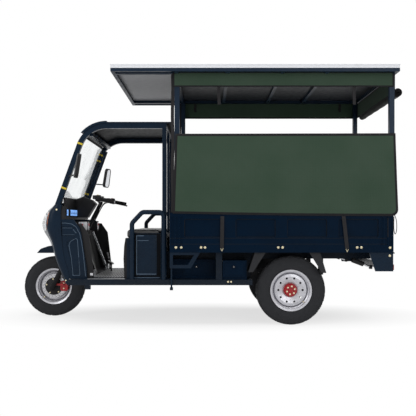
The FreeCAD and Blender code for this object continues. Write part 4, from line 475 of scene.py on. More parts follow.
def plate(outline, depth, corner, edge):
    """A flat outline of places given thickness, with rounded corners and softened edges."""
    bm = bmesh.new()
    bm.faces.new([bm.verts.new(at(*place)) for place in outline])
    if corner:
        bmesh.ops.bevel(bm, geom=bm.verts[:], offset=corner * MM, segments=4, profile=0.5, affect="VERTICES",
                        material=-1)
    moved = bmesh.ops.extrude_face_region(bm, geom=bm.faces[:])["geom"]
    moved = [item for item in moved if isinstance(item, bmesh.types.BMVert)]
    bmesh.ops.translate(bm, verts=moved, vec=Vector(depth) * MM)
    bmesh.ops.recalc_face_normals(bm, faces=bm.faces[:])
    way = Vector(depth).normalized()
    caps = [face for face in bm.faces if abs(face.normal.dot(way)) > 0.99]
    if edge:
        rounded(bm, list({rim for face in caps for rim in face.edges}), edge)
    return bm


def pipe(places, radius, order=3):
    """A round tube along a smooth line that a few places guide."""
    curve = bpy.data.curves.new("line", "CURVE")
    curve.dimensions = "3D"
    spline = curve.splines.new("NURBS")
    spline.points.add(len(places) - 1)
    for point, place in zip(spline.points, places):
        point.co = (*at(*place), 1.0)
    spline.order_u = order
    spline.use_endpoint_u = True
    curve.resolution_u = 6
    curve.bevel_depth = radius * MM
    curve.bevel_resolution = 3
    curve.use_fill_caps = True
    holder = bpy.data.objects.new("line", curve)
    mesh = bpy.data.meshes.new_from_object(holder)
    bm = bmesh.new()
    bm.from_mesh(mesh)
    bpy.data.objects.remove(holder)
    bpy.data.meshes.remove(mesh)
    bpy.data.curves.remove(curve)
    return bm


def strip(places, half, wall=1.4):
    """A flat strap along places, half as wide as the half vector is long."""
    bm = bmesh.new()
    half = Vector(half) * MM
    first = at(*places[0])
    edges = [bm.edges.new((bm.verts.new(first - half), bm.verts.new(first + half)))]
    for place, before in zip(places[1:], places):
        made = bmesh.ops.extrude_edge_only(bm, edges=edges)["geom"]
        edges = [item for item in made if isinstance(item, bmesh.types.BMEdge)]
        moved = [item for item in made if isinstance(item, bmesh.types.BMVert)]
        bmesh.ops.translate(bm, verts=moved, vec=at(*place) - at(*before))
    bmesh.ops.solidify(bm, geom=bm.faces[:], thickness=wall * MM)
    return bm


def dome_head(place, way, radius, height):
    """A low round bolt head that faces a direction."""
    profile = [(0, radius), (height * 0.45, radius * 0.95), (height * 0.85, radius * 0.68), (height, 0)]
    return turned(profile, at(*place), way, 16)


def hex_head(place, way, radius, height):
    """A six-sided nut that stands on a place and faces a direction."""
    way = Vector(way).normalized()
    end = [value + height * share for value, share in zip(place, way)]
    return bar(place, end, radius, 6, radius * 0.1)


# Tyres


# Half of a tyre's outline from the bead to the tread: shares of its half width and of its height.
HALF_TYRE = (
    (0.72, 0.00), (0.83, 0.10), (0.90, 0.17), (0.93, 0.20), (0.935, 0.24), (0.985, 0.40), (1.00, 0.50),
    (0.985, 0.60), (0.97, 0.66), (0.955, 0.69), (0.93, 0.74), (0.86, 0.86), (0.74, 0.93), (0.48, 0.955),
    (0.16, 0.963),
)
TYRE_PROFILE = [(-side, share) for side, share in HALF_TYRE] + list(reversed(HALF_TYRE))
TREAD_ROW_MM = 8


def tread_blocks(bm, centre, top, steps):
    """Raises staggered blocks from the tread and scallops the shoulders."""
    rows = {}
    for face in bm.faces:
        middle = face.calc_center_median() - centre
        height = math.hypot(middle.x, middle.z)
        if height > top:
            turn = int(round(math.atan2(middle.z, middle.x) / FULL_TURN * steps - 0.5))
            row = round(middle.y / MM / TREAD_ROW_MM)
            rows.setdefault(row, []).append((turn, face))
    chosen = []
    for number, row in enumerate(sorted(rows)):
        for turn, face in rows[row]:
            if (turn + number * 2) % 4 != 0:
                chosen.append(face)
    bmesh.ops.inset_individual(bm, faces=chosen, thickness=0.0012, depth=0.0055, use_even_offset=True)


def tyre(name, node, body, rim_radius, steps):
    """A bias-ply tyre: rings moulded on the sidewall and a block tread."""
    low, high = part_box(node)
    centre = (Vector(low) + Vector(high)) / 2
    radius = (high[2] - low[2]) / 2 / MM
    half = (high[1] - low[1]) / 2 / MM - 0.5
    bead = rim_radius - 10
    profile = [(half * side, bead + (radius - 1 - bead) * share) for side, share in TYRE_PROFILE]
    inner = [(along * 0.88, bead + (height - bead) * 0.86) for along, height in reversed(profile)]
    bm = turned(profile + inner, centre, (0, 1, 0), steps, closed=True)
    bmesh.ops.recalc_face_normals(bm, faces=bm.faces[:])
    tread_blocks(bm, centre, (bead + (radius - bead) * 0.80) * MM, steps)
    piece = Piece(name)
    piece.join(bm, tyre_rubber)
    piece.done(body, (node,), 30, recalculate=False)


for corner, rim_radius in (("front", 161), ("rear_left", 170), ("rear_right", 170)):
    tyre(f"{corner}_tyre_tread", f"{corner}_tyre", f"{corner}_wheel", rim_radius, steps=96)

# Cloth

FRONT_POST = 1101
VALANCE_TOP = 2055


def hemmed(share, count, hem):
    """Moves an even grid line so that the first and the last cell are as wide as the hem."""
    number = round(share * count)
    if number in (0, count):
        return number / count
    return hem + (1 - 2 * hem) * (number - 1) / (count - 2)


def cloth_panel(name, shape, columns, rows, hems, finish=canvas_green, wall_mm=1.6):
    """A sheet over the unit square that a shape function places, its edges bound in black tape.

    It gets its thickness evenly on both sides and stays on the root body.
    """
    bm = bmesh.new()
    bmesh.ops.create_grid(bm, x_segments=columns, y_segments=rows, size=0.5)
    places = {}
    for vert in bm.verts:
        places[vert] = (hemmed(vert.co.x + 0.5, columns, hems[0]), hemmed(vert.co.y + 0.5, rows, hems[1]))
    layer = bm.loops.layers.uv.new("cloth")
    for face in bm.faces:
        along = [places[vert][0] for vert in face.verts]
        up = [places[vert][1] for vert in face.verts]
        bound = max(along) <= hems[0] + 1e-6 or min(along) >= 1 - hems[0] - 1e-6
        bound = bound or max(up) <= hems[1] + 1e-6 or min(up) >= 1 - hems[1] - 1e-6
        face.material_index = 1 if bound else 0
        for loop in face.loops:
            loop[layer].uv = places[loop.vert]
    for vert, (along, up) in places.items():
        vert.co = shape(along, up)
    piece = new_object(name, bm)
    piece.data.materials.append(finish)
    piece.data.materials.append(binding_black)
    piece.data.shade_smooth()
    wall = piece.modifiers.new("wall", "SOLIDIFY")
    wall.thickness = wall_mm * MM
    wall.offset = 0.0
    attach(piece, "root")
    return piece


def rounded_corner(along, up, length, height, radius):
    """Pulls a point near a sheet's lower rear corner onto a quarter circle."""
    reach_along = (along - 1) * length + radius
    reach_up = radius - up * height
    if reach_along <= 0 or reach_up <= 0:
        return along, up
    pull = max(reach_along, reach_up) / math.hypot(reach_along, reach_up)
    return 1 + (reach_along * pull - radius) / length, (radius - reach_up * pull) / height


def ridge(place, start, end, width, height):
    """The height of a soft fold that runs from one place to another."""
    run = (end[0] - start[0], end[1] - start[1])
    share = ((place[0] - start[0]) * run[0] + (place[1] - start[1]) * run[1]) / (run[0] ** 2 + run[1] ** 2)
    share = min(1.0, max(0.0, share))
    away = math.hypot(place[0] - start[0] - run[0] * share, place[1] - start[1] - run[1] * share)
    return height * math.exp(-((away / width) ** 2)) * (1 - 0.6 * share)


# Start, end, width and height of each soft fold, as ridge() takes them.
CANVAS_FOLDS = (
    ((1150, 1535), (1330, 1260), 26, 5.0), ((1215, 1545), (1300, 1380), 22, 3.5),
    ((1125, 1330), (1180, 1080), 30, 3.0), ((1500, 905), (1540, 1120), 34, 2.5),
    ((2490, 900), (2440, 1150), 38, 2.5), ((2880, 1540), (2760, 1330), 40, 3.0),
)


def side_canvas(side):
    """A coated canvas that hangs on the side rail and is strapped down over the bed's wall."""
    out = SIDES[side]
    low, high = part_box(f"side_canvas_{side}")
    middle = (abs(low[1]) + abs(high[1])) / 2 / MM - 2.0
    front_low, rear_low, rear_high, front_high = (1100, 914), (2915, 893), (2890, 1559), (1123, 1555)

    def shape(along, up):
        along, up = rounded_corner(along, up, 1800, 660, 55)
        bottom = between(front_low, rear_low, along)
        place = between(bottom, between(front_high, rear_high, along), up)
        place[1] -= 5 * math.sin(math.pi * along) * (1 - up)
        rise = sum(ridge(place, *fold) for fold in CANVAS_FOLDS)
        rise += 2.2 * lump(Vector((place[0] / 330, out, place[1] / 260)))
        return at(place[0], out * (middle + rise), place[1])

    piece = cloth_panel(f"canvas_{side}", shape, 150, 56, (0.0105, 0.030))
    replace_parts(piece, f"side_canvas_{side}")


def side_valance(side):
    """The short curtain under the roof's edge, a little wavy along its bound lower edge."""
    out = SIDES[side]
    middle = box_mm("valances")[2] - 4
    bottom = 1932 if side == "left" else 1888

    def shape(along, up):
        place = FRONT_POST + 1780 * along
        wave = 2.0 * lump(Vector((place / 150, out * 3, 0.0))) * (1 - up) ** 1.5
        wave += 1.5 * math.sin(place / 97) * (1 - up)
        return at(place, out * (middle + wave), bottom + (VALANCE_TOP - bottom) * up)

    piece = cloth_panel(f"valance_{side}", shape, 120, 10, (0.008, 0.09))
    return piece


def rear_valance():
    """The curtain's fixed strip behind the rear posts."""

    def shape(along, up):
        side = (along - 0.5) * 1196
        wave = 1.6 * lump(Vector((side / 140, 7.0, 0.0))) * (1 - up)
        return at(2889 + wave, side, 1888 + 148 * up)

    piece = cloth_panel("valance_rear", shape, 80, 10, (0.012, 0.09))


def rolled_curtain():
    """The rear curtain rolled up: one long sheet wound in a spiral with a loose outer turn."""
    low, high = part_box("curtain_roll")
    centre = (Vector(low) + Vector(high)) / 2
    outer = (high[2] - low[2]) / 2 / MM - 2
    half = (high[1] - low[1]) / 2
    turns, core = 6.5, 8

    def shape(along, up):
        angle = up * turns * FULL_TURN
        radius = core + (outer - core) * up
        side = (along - 0.5) * 2
        radius += 1.5 * lump(Vector((side * 5, math.cos(angle), math.sin(angle)))) * up
        bend = Vector((0, side * (half - 0.004), -0.003 * math.sin(side * 9) ** 2))
        return centre + bend + Vector((math.cos(angle), 0, math.sin(angle))) * radius * MM

    piece = cloth_panel("curtain_rolled", shape, 60, 240, (0.02, 0.01), canvas_dark, 1.2)
    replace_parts(piece, "curtain_roll")


for side_name in SIDES:
    side_canvas(side_name)
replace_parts(side_valance("left"), "valances")
side_valance("right")
rear_valance()
rolled_curtain()

# Straps

STRAP_STEPS = 6


def straps():
    """Webbing: a strap down each front post, ties down each side, and straps with wire hooks outside."""
    piece = Piece("straps_and_hooks")
    for side, out in SIDES.items():
        inner, outer = out * 599.0, out * 606.5
        places = [(FRONT_POST + 2.5 * math.sin(step), inner, 2036 - step * 69.5) for step in range(17)]
        piece.join(strip(places, (13.5, 0, 0)), webbing)
        ties, pitch = ((1473, 2561), 30.5) if side == "left" else ((1256, 2717), 10.0)
        for hang in ties:
            ribbon = [(hang + 1.5 * math.sin(step), inner, 2034 - step * pitch) for step in range(9)]
            piece.join(strip(ribbon, (12.5, 0, 0)), webbing)
        for top, bottom, end in (((1500, 893), (1497, 640), 612), ((2474, 893), (2502, 634), 606)):
            places = []
            for step in range(STRAP_STEPS + 1):
                share = step / STRAP_STEPS
                spot, height = between(top, bottom, share)
                bow = 3.0 * math.sin(math.pi * share)
                places.append((spot, outer + out * bow, height))
            piece.join(strip(places, (15, 0, 0), 2.2), webbing)
            behind, low = bottom
            keeper = block((behind - 15, outer - 2.4, low - 6), (behind + 15, outer + 2.4, low + 12), 1.0)
            piece.join(keeper, webbing)
            hook = [(behind - 9, outer, low - 4), (behind - 8, outer + out * 4, low - 14),
                    (behind, outer + out * 4, end + 4), (behind, outer - out * 2, end - 4),
                    (behind, outer - out * 5, end + 3)]
            twin = [(2 * behind - place[0], place[1], place[2]) for place in hook[:3]]
            for line in (hook, twin):
                piece.join(pipe(line, 1.9), bolt_zinc)
    piece.done("root", ("webbing_straps",))


straps()

# Seat cushion


def inflate(piece, pressure, reach):
    """Lets cloth pressure fill a closed shape, moves no point further than reach, and keeps the result."""
    rest = [vert.co.copy() for vert in piece.data.vertices]
    cloth = piece.modifiers.new("fill", "CLOTH")
    cloth.settings.use_pressure = True
    cloth.settings.uniform_pressure_force = pressure
    cloth.settings.effector_weights.gravity = 0
    cloth.settings.quality = 5
    scene = bpy.context.scene
    for number in range(1, 21):
        scene.frame_set(number)
    shaped = piece.evaluated_get(bpy.context.evaluated_depsgraph_get())
    moved = [vert.co.copy() for vert in shaped.data.vertices]
    piece.modifiers.remove(cloth)
    scene.frame_set(1)
    for vert, start, end in zip(piece.data.vertices, rest, moved):
        step = end - start
        if step.length > reach:
            step *= reach / step.length
        vert.co = start + step


def seat_cushion():
    """A padded bench cushion in black vinyl, blown up a little by cloth pressure."""
    low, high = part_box("seat_cushion")
    low = Vector(low) + Vector((0.010, 0.010, 0.004))
    high = Vector(high) - Vector((0.010, 0.010, 0.010))
    bm = bmesh.new()
    scale = Matrix.Diagonal((*(high - low), 1.0))
    bmesh.ops.create_cube(bm, size=1.0, matrix=Matrix.Translation((low + high) / 2) @ scale)
    rounded(bm, bm.edges[:], 14, 4)
    piece = new_object("cushion", bm)
    voxels = piece.modifiers.new("voxels", "REMESH")
    voxels.mode = "VOXEL"
    voxels.voxel_size = 0.006
    even = bpy.data.meshes.new_from_object(piece.evaluated_get(bpy.context.evaluated_depsgraph_get()))
    piece.modifiers.remove(voxels)
    piece.data = even
    inflate(piece, pressure=4.0, reach=0.009)
    piece.data.materials.clear()
    piece.data.materials.append(vinyl_black)
    piece.data.shade_smooth()
    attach(piece, "seat")
    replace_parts(piece, "seat_cushion")


seat_cushion()

# Bolts, locks and edges of the load bed

# Places as (behind, level).
BED_BOLTS = (
    (1127, 641), (1170, 641), (1329, 641), (1361, 641), (1950, 641), (1985, 641), (2584, 641), (2618, 641),
    (2849, 639), (2849, 574),
)


def bed_bolts():
    """Plated round bolt heads with washers through the bed's sides, and the battery boxes' brackets."""
    piece = Piece("bed_bolts")
    for out in SIDES.values():
        way = (0, out, 0)
        for behind, height in BED_BOLTS:
            face = 592 if height < 600 else 600
            washer = bar((behind, face * out, height), (behind, (face + 1.5) * out, height), 10, 20, 0.4)
            piece.join(washer, bolt_zinc)
            piece.join(dome_head((behind, (face + 1.2) * out, height), way, 7.5, 5), bolt_zinc)
        for behind in (1547, 1572):
            piece.join(hex_head((behind, 569.5 * out, 362), way, 8, 6), bolt_zinc)
        for behind in (1085, 1103):
            for height in (618, 760, 884):
                piece.join(dome_head((behind, 570.5 * out, height), (-1, 0, 0), 6, 4), bolt_zinc)
    piece.done("root")


def side_strip(out, faces, low, high, edge=0.4):
    """A thin block on a side, between two distances from the centre line and two (behind, level) corners."""
    return block((low[0], faces[0] * out, low[1]), (high[0], faces[1] * out, high[1]), edge, 1)


def bed_details():
    """Dark lines of painted shade round the bed sides' pressed fields and along the seams, pale strips of
    painted highlight on the fields' edges, slot covers and rope loops.
    """
    piece = Piece("bed_fittings")
    for out in SIDES.values():
        piece.join(side_strip(out, (599.6, 600.8), (2829, 723), (2835, 880)), seal_black_and_painted_shade)
        for number in range(4):
            start = 1194 + 414 * number
            end = start + 320
            # Dark lines of painted shade round each pressed field.
            for low, high in (((start, 723), (end, 726.5)), ((start, 866.5), (end, 870)),
                              ((start, 726), (start + 3.5, 867)), ((end - 3.5, 726), (end, 867))):
                piece.join(side_strip(out, (589.6, 590.9), low, high), seal_black_and_painted_shade)
            # Pale strips of painted highlight along each field's lower and front edges.
            for low, high in (((start - 3, 720), (end + 3, 723)), ((start - 3, 723), (start, 870))):
                piece.join(side_strip(out, (589.6, 591.4), low, high), painted_highlight_enamel)
        for height in (667, 714):
            # Dark lines of painted shade along the two seams.
            seam_shade = side_strip(out, (599.5, 600.7), (1084, height), (2820, height + 2.2), 0.3)
            piece.join(seam_shade, seal_black_and_painted_shade)
        loop = [(2882, 601 * out, 906), (2897, 604 * out, 880), (2903, 605 * out, 820),
                (2899, 604 * out, 765), (2889, 603 * out, 742), (2879, 604 * out, 765),
                (2876, 605 * out, 820), (2880, 603 * out, 890)]
        piece.join(pipe(loop, 3.0, 4), cable_black)
        piece.join(dome_head((2884, 600 * out, 905), (0, out, 0), 8, 6), iron_black)
    piece.done("root")


# Two (behind, level) corners, the thickness, the corners' radius and the finish of each panel.
# The black plates are painted shade at the gaps and recesses; the pale strips are painted highlights on the
# pressed edges.
SEAT_PANELS = (
    ((777, 402), (798, 752), 1.2, 0, gloss_black_and_painted_shade), ((966, 402), (997, 752), 1.2, 0, gloss_black_and_painted_shade),
    ((777, 742), (997, 752), 1.4, 0, gloss_black_and_painted_shade), ((777, 398), (997, 410), 1.4, 0, gloss_black_and_painted_shade),
    ((798, 408), (966, 742), 3.0, 8, enamel_seat), ((808, 418), (956, 696), 5.0, 10, enamel_seat),
    ((808, 706), (956, 734), 5.0, 7, enamel_seat), ((799, 412), (805, 736), 4.0, 0, painted_highlight_enamel),
    ((803, 417), (962, 423), 6.0, 0, painted_highlight_enamel), ((806, 692), (900, 696), 6.0, 0, painted_highlight_enamel),
    ((806, 730), (860, 736), 6.0, 0, painted_highlight_enamel), ((780, 388), (990, 393), 2.4, 0, painted_highlight_enamel),
)


def seat_side_panels():
    """The pressed panels on the seat box's sides between black plates of painted shade at the gaps, with
    pale strips of painted highlight on the pressed edges.
    """
    for side, out in SIDES.items():
        piece = Piece(f"seat_side_{side}")
        for low, high, depth, corner, finish in SEAT_PANELS:
            corners = (low, (high[0], low[1]), high, (low[0], high[1]))
            outline = [(behind, 521.5 * out, height) for behind, height in corners]
            piece.join(plate(outline, (0, depth * out, 0), corner, 1.2), finish)
        piece.done("root")


def surface(node, behind, height, out):
    """How far out a frame part's side lies at a place, or None where there is none."""
    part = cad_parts[node]
    turn = part.matrix_world.inverted()
    start = turn @ at(behind, 1200 * out, height)
    way = turn.to_3x3() @ Vector((0, -out, 0))
    hit, place = part.ray_cast(start, way)[:2]
    return (part.matrix_world @ place).y / MM if hit else None


def side_bead(piece, node, places, out, radius, finish):
    """A bead that follows a frame part's side through places given as (behind, level)."""
    run = []
    for start, end in zip(places, places[1:]):
        count = max(2, int(math.hypot(end[0] - start[0], end[1] - start[1]) // 14))
        run += [between(start, end, number / count) for number in range(count)]
    run.append(places[-1])
    found = [(behind, surface(node, behind, height, out), height) for behind, height in run]
    found = [place for place in found if place[1] is not None]
    if len(found) > 3:
        piece.join(pipe(found, radius), finish)


LEG_SHIELD_BEADS = (
    ((176, 836), (208, 838), (262, 828), (296, 802), (324, 750), (342, 668), (354, 580), (365, 476),
     (373, 396)),
    ((178, 797), (262, 795), (296, 752)),
    ((182, 741), (280, 741)),
    ((326, 404), (306, 700), (292, 710), (246, 685), (234, 654), (255, 538), (268, 404)),
    ((268, 404), (326, 404)),
)
LEG_SHIELD_JOINT = ((174, 850), (176, 720), (182, 600), (196, 508), (224, 432), (234, 392))


def leg_shield_beads():
    """Pressed beads on both leg shields, pale as a painted highlight along them, and the dark joint to the
    nose.
    """
    piece = Piece("leg_shield_beads")
    for side, out in SIDES.items():
        # The beads' pale colour is a painted highlight.
        for places in LEG_SHIELD_BEADS:
            side_bead(piece, f"leg_shield_{side}", places, out, 2.2, painted_highlight_enamel)
        side_bead(piece, f"leg_shield_{side}", LEG_SHIELD_JOINT, out, 2.4, gloss_black_and_painted_shade)
    piece.done("root")


def indicators():
    """Amber turn lamps along the rear edge of the headlamps, each in a bright rim."""
    piece = Piece("indicators")
    for out in SIDES.values():
        rows = []
        for height, *ends in ((788, 22, 42), (832, 26, 52), (876, 34, 60), (926, 45, 68)):
            faces = [surface("nose_fairing", behind, height, out) for behind in ends]
            faces = [430.0 if face is None else abs(face) for face in faces]
            rows.append([(behind, face, height) for behind, face in zip(ends, faces)])
        for lower, upper in zip(rows, rows[1:]):
            corners = ((lower[0], -1, -1), (lower[1], 1, -1), (upper[1], 1, 1), (upper[0], -1, 1))
            for grow, lift, finish in ((5, 1.5, lamp_bowl), (0, 4.5, indicator_amber)):
                outline = [(behind + grow * along, (face - 12) * out, height + grow * 0.3 * up)
                           for (behind, face, height), along, up in corners]
                piece.join(plate(outline, (0, (12 + lift) * out, 0), 0, 0.6), finish)
    piece.done("root")


bed_bolts()
bed_details()
seat_side_panels()
leg_shield_beads()
indicators()


def battery_lock(name, body, place):
    """A round black lock with a bright key slot on a battery door."""
    behind, across, height = place
    face = across - 5.2
    piece = Piece(name)
    piece.join(bar(place, (behind, across - 5, height), 10, 24, 1.2), iron_black)
    slot = block((behind - 1, face - 0.3, height - 4.5), (behind + 1, face + 0.3, height + 4.5), 0.1, 1)
    piece.join(slot, chrome)
    piece.done(body)


battery_lock("front_battery_lock", "front_battery_door", (1289, -422.3, 473))
battery_lock("rear_battery_lock", "rear_battery_door", (1594, -567.3, 482))

# Roof edge


def roof_trim():
    """The rolled white lip round the roof panel's upper edge, and the hem along its lower side edges."""
    piece = Piece("roof_lining")
    front, rear, side, under, top = box_mm("roof_panel")
    for out in SIDES.values():
        for low, high, reach, edge in ((top - 5, top + 1, 3, 1.5), (under + 1, under + 5, 1.5, 1.0)):
            hem = block((front, (side - 1) * out, low), (rear, (side + reach) * out, high), edge)
            piece.join(hem, enamel_white)
    for end, way in ((front, -1), (rear, 1)):
        lip = block((end - way, -side, top - 5), (end + 3 * way, side, top + 1), 1.5)
        piece.join(lip, enamel_white)
    piece.done("root")


roof_trim()

# Windscreen


def pane_strip(low, high, lift, depth, edge):
    """A flat strip on the leaning windscreen between two corners, given as shares across and up.

    It begins as far off the pane's front face as its lift and goes back as far as its depth.
    """
    front, _, half, bottom, top = box_mm("windscreen")
    outline = []
    for across, up in (low, (high[0], low[1]), high, (low[0], high[1])):
        rise = (top - bottom) * up
        behind = front + rise * math.tan(LEAN) - lift * math.cos(LEAN)
        outline.append((behind, half * across, bottom + rise + lift * math.sin(LEAN)))
    return plate(outline, (depth * math.cos(LEAN), 0, -depth * math.sin(LEAN)), 0, edge)


def windscreen_seals():
    """Rubber channels round the clear pane and two pale lines under its header."""
    piece = Piece("windscreen_seals")
    wide, tall = 0.014, 0.030
    for low, high in (((-1, 0), (-1 + wide, 1)), ((1 - wide, 0), (1, 1)), ((-1, 0), (1, tall)),
                      ((-1, 1 - tall), (1, 1))):
        piece.join(pane_strip(low, high, 2.0, 10, 1.2), seal_black_and_painted_shade)
    for up in (0.980, 0.990):
        piece.join(pane_strip((-0.9, up), (0.9, up + 0.003), 2.6, 1.2, 0), enamel_grey)
    piece.done("root")


windscreen_seals()

# Wheels

# Centres as (behind, level).
REAR_AXLE = (2065, 285)
FRONT_AXLE = (0, 268)


def ring_places(centre, radius, count, start=0.0):
    """Even places round a wheel's centre, as (behind, level) pairs."""
    turns = [start + FULL_TURN * number / count for number in range(count)]
    return [(centre[0] + radius * math.cos(turn), centre[1] + radius * math.sin(turn)) for turn in turns]


def rear_wheel_parts(side):
    """Wheel nuts and the dust cap on the red hub, nuts on the rim's disc and the valve."""
    out = SIDES[side]
    way = (0, out, 0)
    behind, height = REAR_AXLE
    piece = Piece(f"rear_{side}_wheel_nuts")
    face = 499.5 * out
    for x, z in ring_places(REAR_AXLE, 33, 6, 0.3):
        piece.join(hex_head((x, face, z), way, 8, 9), bolt_zinc)
    cap = [(0, 19), (6, 19), (9, 16), (10, 11), (10, 0)]
    piece.join(turned(cap, at(behind, face, height), way, 24), red_paint)
    for x, z in ring_places(REAR_AXLE, 49.5, 6, 0.8):
        piece.join(dome_head((x, 456 * out, z), way, 5, 4), bolt_zinc)
    valve = bar((behind + 110, 505 * out, height - 100), (behind + 96, 519 * out, height - 88), 4, 12, 0.6)
    piece.join(valve, bolt_zinc)
    piece.done(f"rear_{side}_wheel")


def front_wheel_parts():
    """The cast black hub with its spokes and bolts on the left, the disc's drillings as dark dots of painted
    shade, and the valve.
    """
    piece = Piece("front_hub_parts")
    centre = at(FRONT_AXLE[0], -48.2, FRONT_AXLE[1])
    hub = [(0, 78), (3, 78), (5, 74), (6, 60), (10, 52), (12, 36), (20, 32), (20, 15)]
    piece.join(turned(hub, centre, (0, -1, 0), 40), iron_black)
    for behind, height in ring_places(FRONT_AXLE, 66, 5, 0.4):
        piece.join(hex_head((behind, -52, height), (0, -1, 0), 7, 6), bolt_zinc)
    # Dark dots of painted shade where the disc is drilled.
    for radius in (97, 88):
        for behind, height in ring_places(FRONT_AXLE, radius, 20, radius * 0.08):
            piece.join(bar((behind, -48.0, height), (behind, -48.6, height), 3.2, 12, 0.1), seal_black_and_painted_shade)
    for number in range(5):
        turn = FULL_TURN * number / 5 + 0.1
        inner, outer = [(reach * math.cos(turn), -54.5, FRONT_AXLE[1] + reach * math.sin(turn))
                        for reach in (30, 74)]
        piece.join(bar(inner, outer, 5, 12, 1), iron_black)
    piece.join(bar((-80, -40, 178), (-92, -52, 166), 4, 12, 0.6), bolt_zinc)
    piece.done("front_wheel")


def caliper_parts():
    """Slide bolts and the pad cover of the red brake caliper, and its hose up the fork's leg."""
    piece = Piece("caliper_parts")
    low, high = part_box("brake_caliper")
    end, face = high[0] / MM + ORIGIN_SHIFT, low[1] / MM
    for height in (250, 296):
        piece.join(hex_head((end - 34, face + 17.5, height), (0, -1, 0), 7, 6), bolt_zinc)
    piece.join(block((end - 46, face + 15.5, 262), (end - 18, face + 18.5, 284), 1.5), red_paint)
    hose = [(end - 30, face + 22, 318), (end - 34, -66, 350), (end - 60, -92, 400), (118, -120, 520),
            (170, -118, 640), (212, -116, 720), (262, -120, 770), (320, -104, 850)]
    piece.join(pipe(hose, 3.6, 4), cable_black)
    piece.done("steering")


for side_name in SIDES:
    rear_wheel_parts(side_name)
front_wheel_parts()
caliper_parts()

# Handlebar controls


def controls():
    """Switch housings with buttons, brake levers, ribs on the grips, and cables down the steering column."""
    piece = Piece("bar_controls")
    knob = [(-8, 0), (-6, 5), (0, 8), (6, 5), (8, 0)]
    ring = [(-1.6, 17.2), (-1.0, 18.4), (1.0, 18.4), (1.6, 17.2)]
    for out in SIDES.values():
        grip = 365 * out
        piece.join(block((436, grip - 20 * out, 1046), (480, grip + 20 * out, 1072), 4, 3), plastic_black)
        piece.join(block((404, 292 * out, 1040), (446, 338 * out, 1073), 5, 3), plastic_black)
        button = bar((454, grip, 1071), (454, grip, 1077), 6, 16, 1)
        piece.join(button, button_red if out > 0 else tape_yellow)
        piece.join(bar((468, grip - 6 * out, 1069), (468, grip - 6 * out, 1074), 4, 16, 1), mat_grey)
        perch = bar((430, grip + 10 * out, 1044), (446, grip + 42 * out, 1040), 9, 16, 2)
        piece.join(perch, iron_black)
        lever = [(440, grip + 40 * out, 1040), (470, grip + 52 * out, 1030), (520, grip + 50 * out, 1016),
                 (560, grip + 40 * out, 1008), (588, grip + 38 * out, 1003)]
        piece.join(pipe(lever, 6, 4), enamel_black)
        piece.join(turned(knob, at(590, grip + 38 * out, 1002), (1, 0, 0), 16), enamel_black)
        for number, drop in enumerate((0, 9)):
            inner = (10 + number * 3) * out
            cable = [(436, grip + (24 - number * 20) * out, 1050 - drop), (430, 320 * out, 1040 - drop),
                     (424, 200 * out, 1034 - drop), (418, 80 * out, 1012 - drop), (404, inner, 954),
                     (382, inner, 908), (361, inner, 866)]
            piece.join(pipe(cable, 3.6, 4), cable_black)
        for number in range(9):
            behind = 492 + number * 10.5
            centre = at(behind, grip, 1037.5 - (behind - 478.9) * 0.189)
            piece.join(turned(ring, centre, (0.983, 0, -0.186), 24), rubber_black)
    piece.join(block((402, -30, 1068), (438, 30, 1077), 3, 3), plastic_black)
    piece.done("steering")


controls()

# Dashboard


def dash_parts():
    """The two lit windows with their frames and dark segments, and the switch boxes' faces and buttons."""
    piece = Piece("dash_parts")
    face = 207
    for start, end in ((-432, -370), (-306, 98)):
        piece.join(block((face - 1, start + 3, 899), (face + 0.8, end - 3, 951), 0.5, 1), lcd_glow)
        for low, high in (((start, 896), (end, 900)), ((start, 950), (end, 954)),
                          ((start, 896), (start + 4, 954)), ((end - 4, 896), (end, 954))):
            piece.join(block((face - 0.5, *low), (face + 2.2, *high), 0.7), seal_black_and_painted_shade)
        for number in range(int((end - start - 24) // 22)):
            left = start + 16 + number * 22
            tall = 26 - (number % 3) * 7
            segment = block((face + 0.5, left, 912), (face + 1.3, left + 9, 912 + tall), 0.2, 1)
            piece.join(segment, seal_black_and_painted_shade)
    piece.done("root")
    switch = Piece("switch_box_parts")
    rear, side = box_mm("switch_boxes")[1:3]
    for out in SIDES.values():
        middle, outer = 216 * out, side * out
        switch.join(block((rear - 1, middle - 26, 780), (rear + 2, middle + 26, 842), 1.2), box_silver)
        switch.join(bar((rear + 1, middle, 822), (rear + 9, middle, 822), 11, 24, 2), button_red)
        switch.join(bar((rear + 1, middle, 795), (rear + 7, middle, 795), 8, 24, 1.5), chrome)
        cover = block((rear - 76, outer - 0.6 * out, 776), (rear - 4, outer + 1.2 * out, 846), 0.8)
        switch.join(cover, box_silver)
        button = bar((rear - 46, outer + out, 822), (rear - 46, outer + 7 * out, 822), 9, 24, 1.5)
        switch.join(button, button_red)
    switch.done("root")


def pillar_band(middle, out):
    """A tape band 15 mm tall round a front pillar, at a level."""
    outline = []
    for away, up in ((-22, -7.5), (22, -7.5), (22, 7.5), (-22, 7.5)):
        behind = 142 + (middle - 990) * math.tan(LEAN) + away * math.cos(LEAN) + up * math.sin(LEAN)
        height = middle - away * math.sin(LEAN) + up * math.cos(LEAN)
        outline.append((behind, 436.2 * out, height))
    return plate(outline, (0, 36.6 * out, 0), 0, 0.4)


def pillar_parts():
    """Yellow tape bands round both front pillars and the bright bolts at their feet."""
    piece = Piece("pillar_tapes")
    for side, levels in (("left", (1495, 1127)), ("right", (1503, 1445, 1121))):
        for middle in levels:
            piece.join(pillar_band(middle, SIDES[side]), tape_yellow)
    for out in SIDES.values():
        piece.join(dome_head((134, 472 * out, 948), (0, out, 0), 8, 5), bolt_zinc)
        piece.join(dome_head((211, 468 * out, 363), (0, out, 0), 7, 5), bolt_zinc)
    piece.done("root")


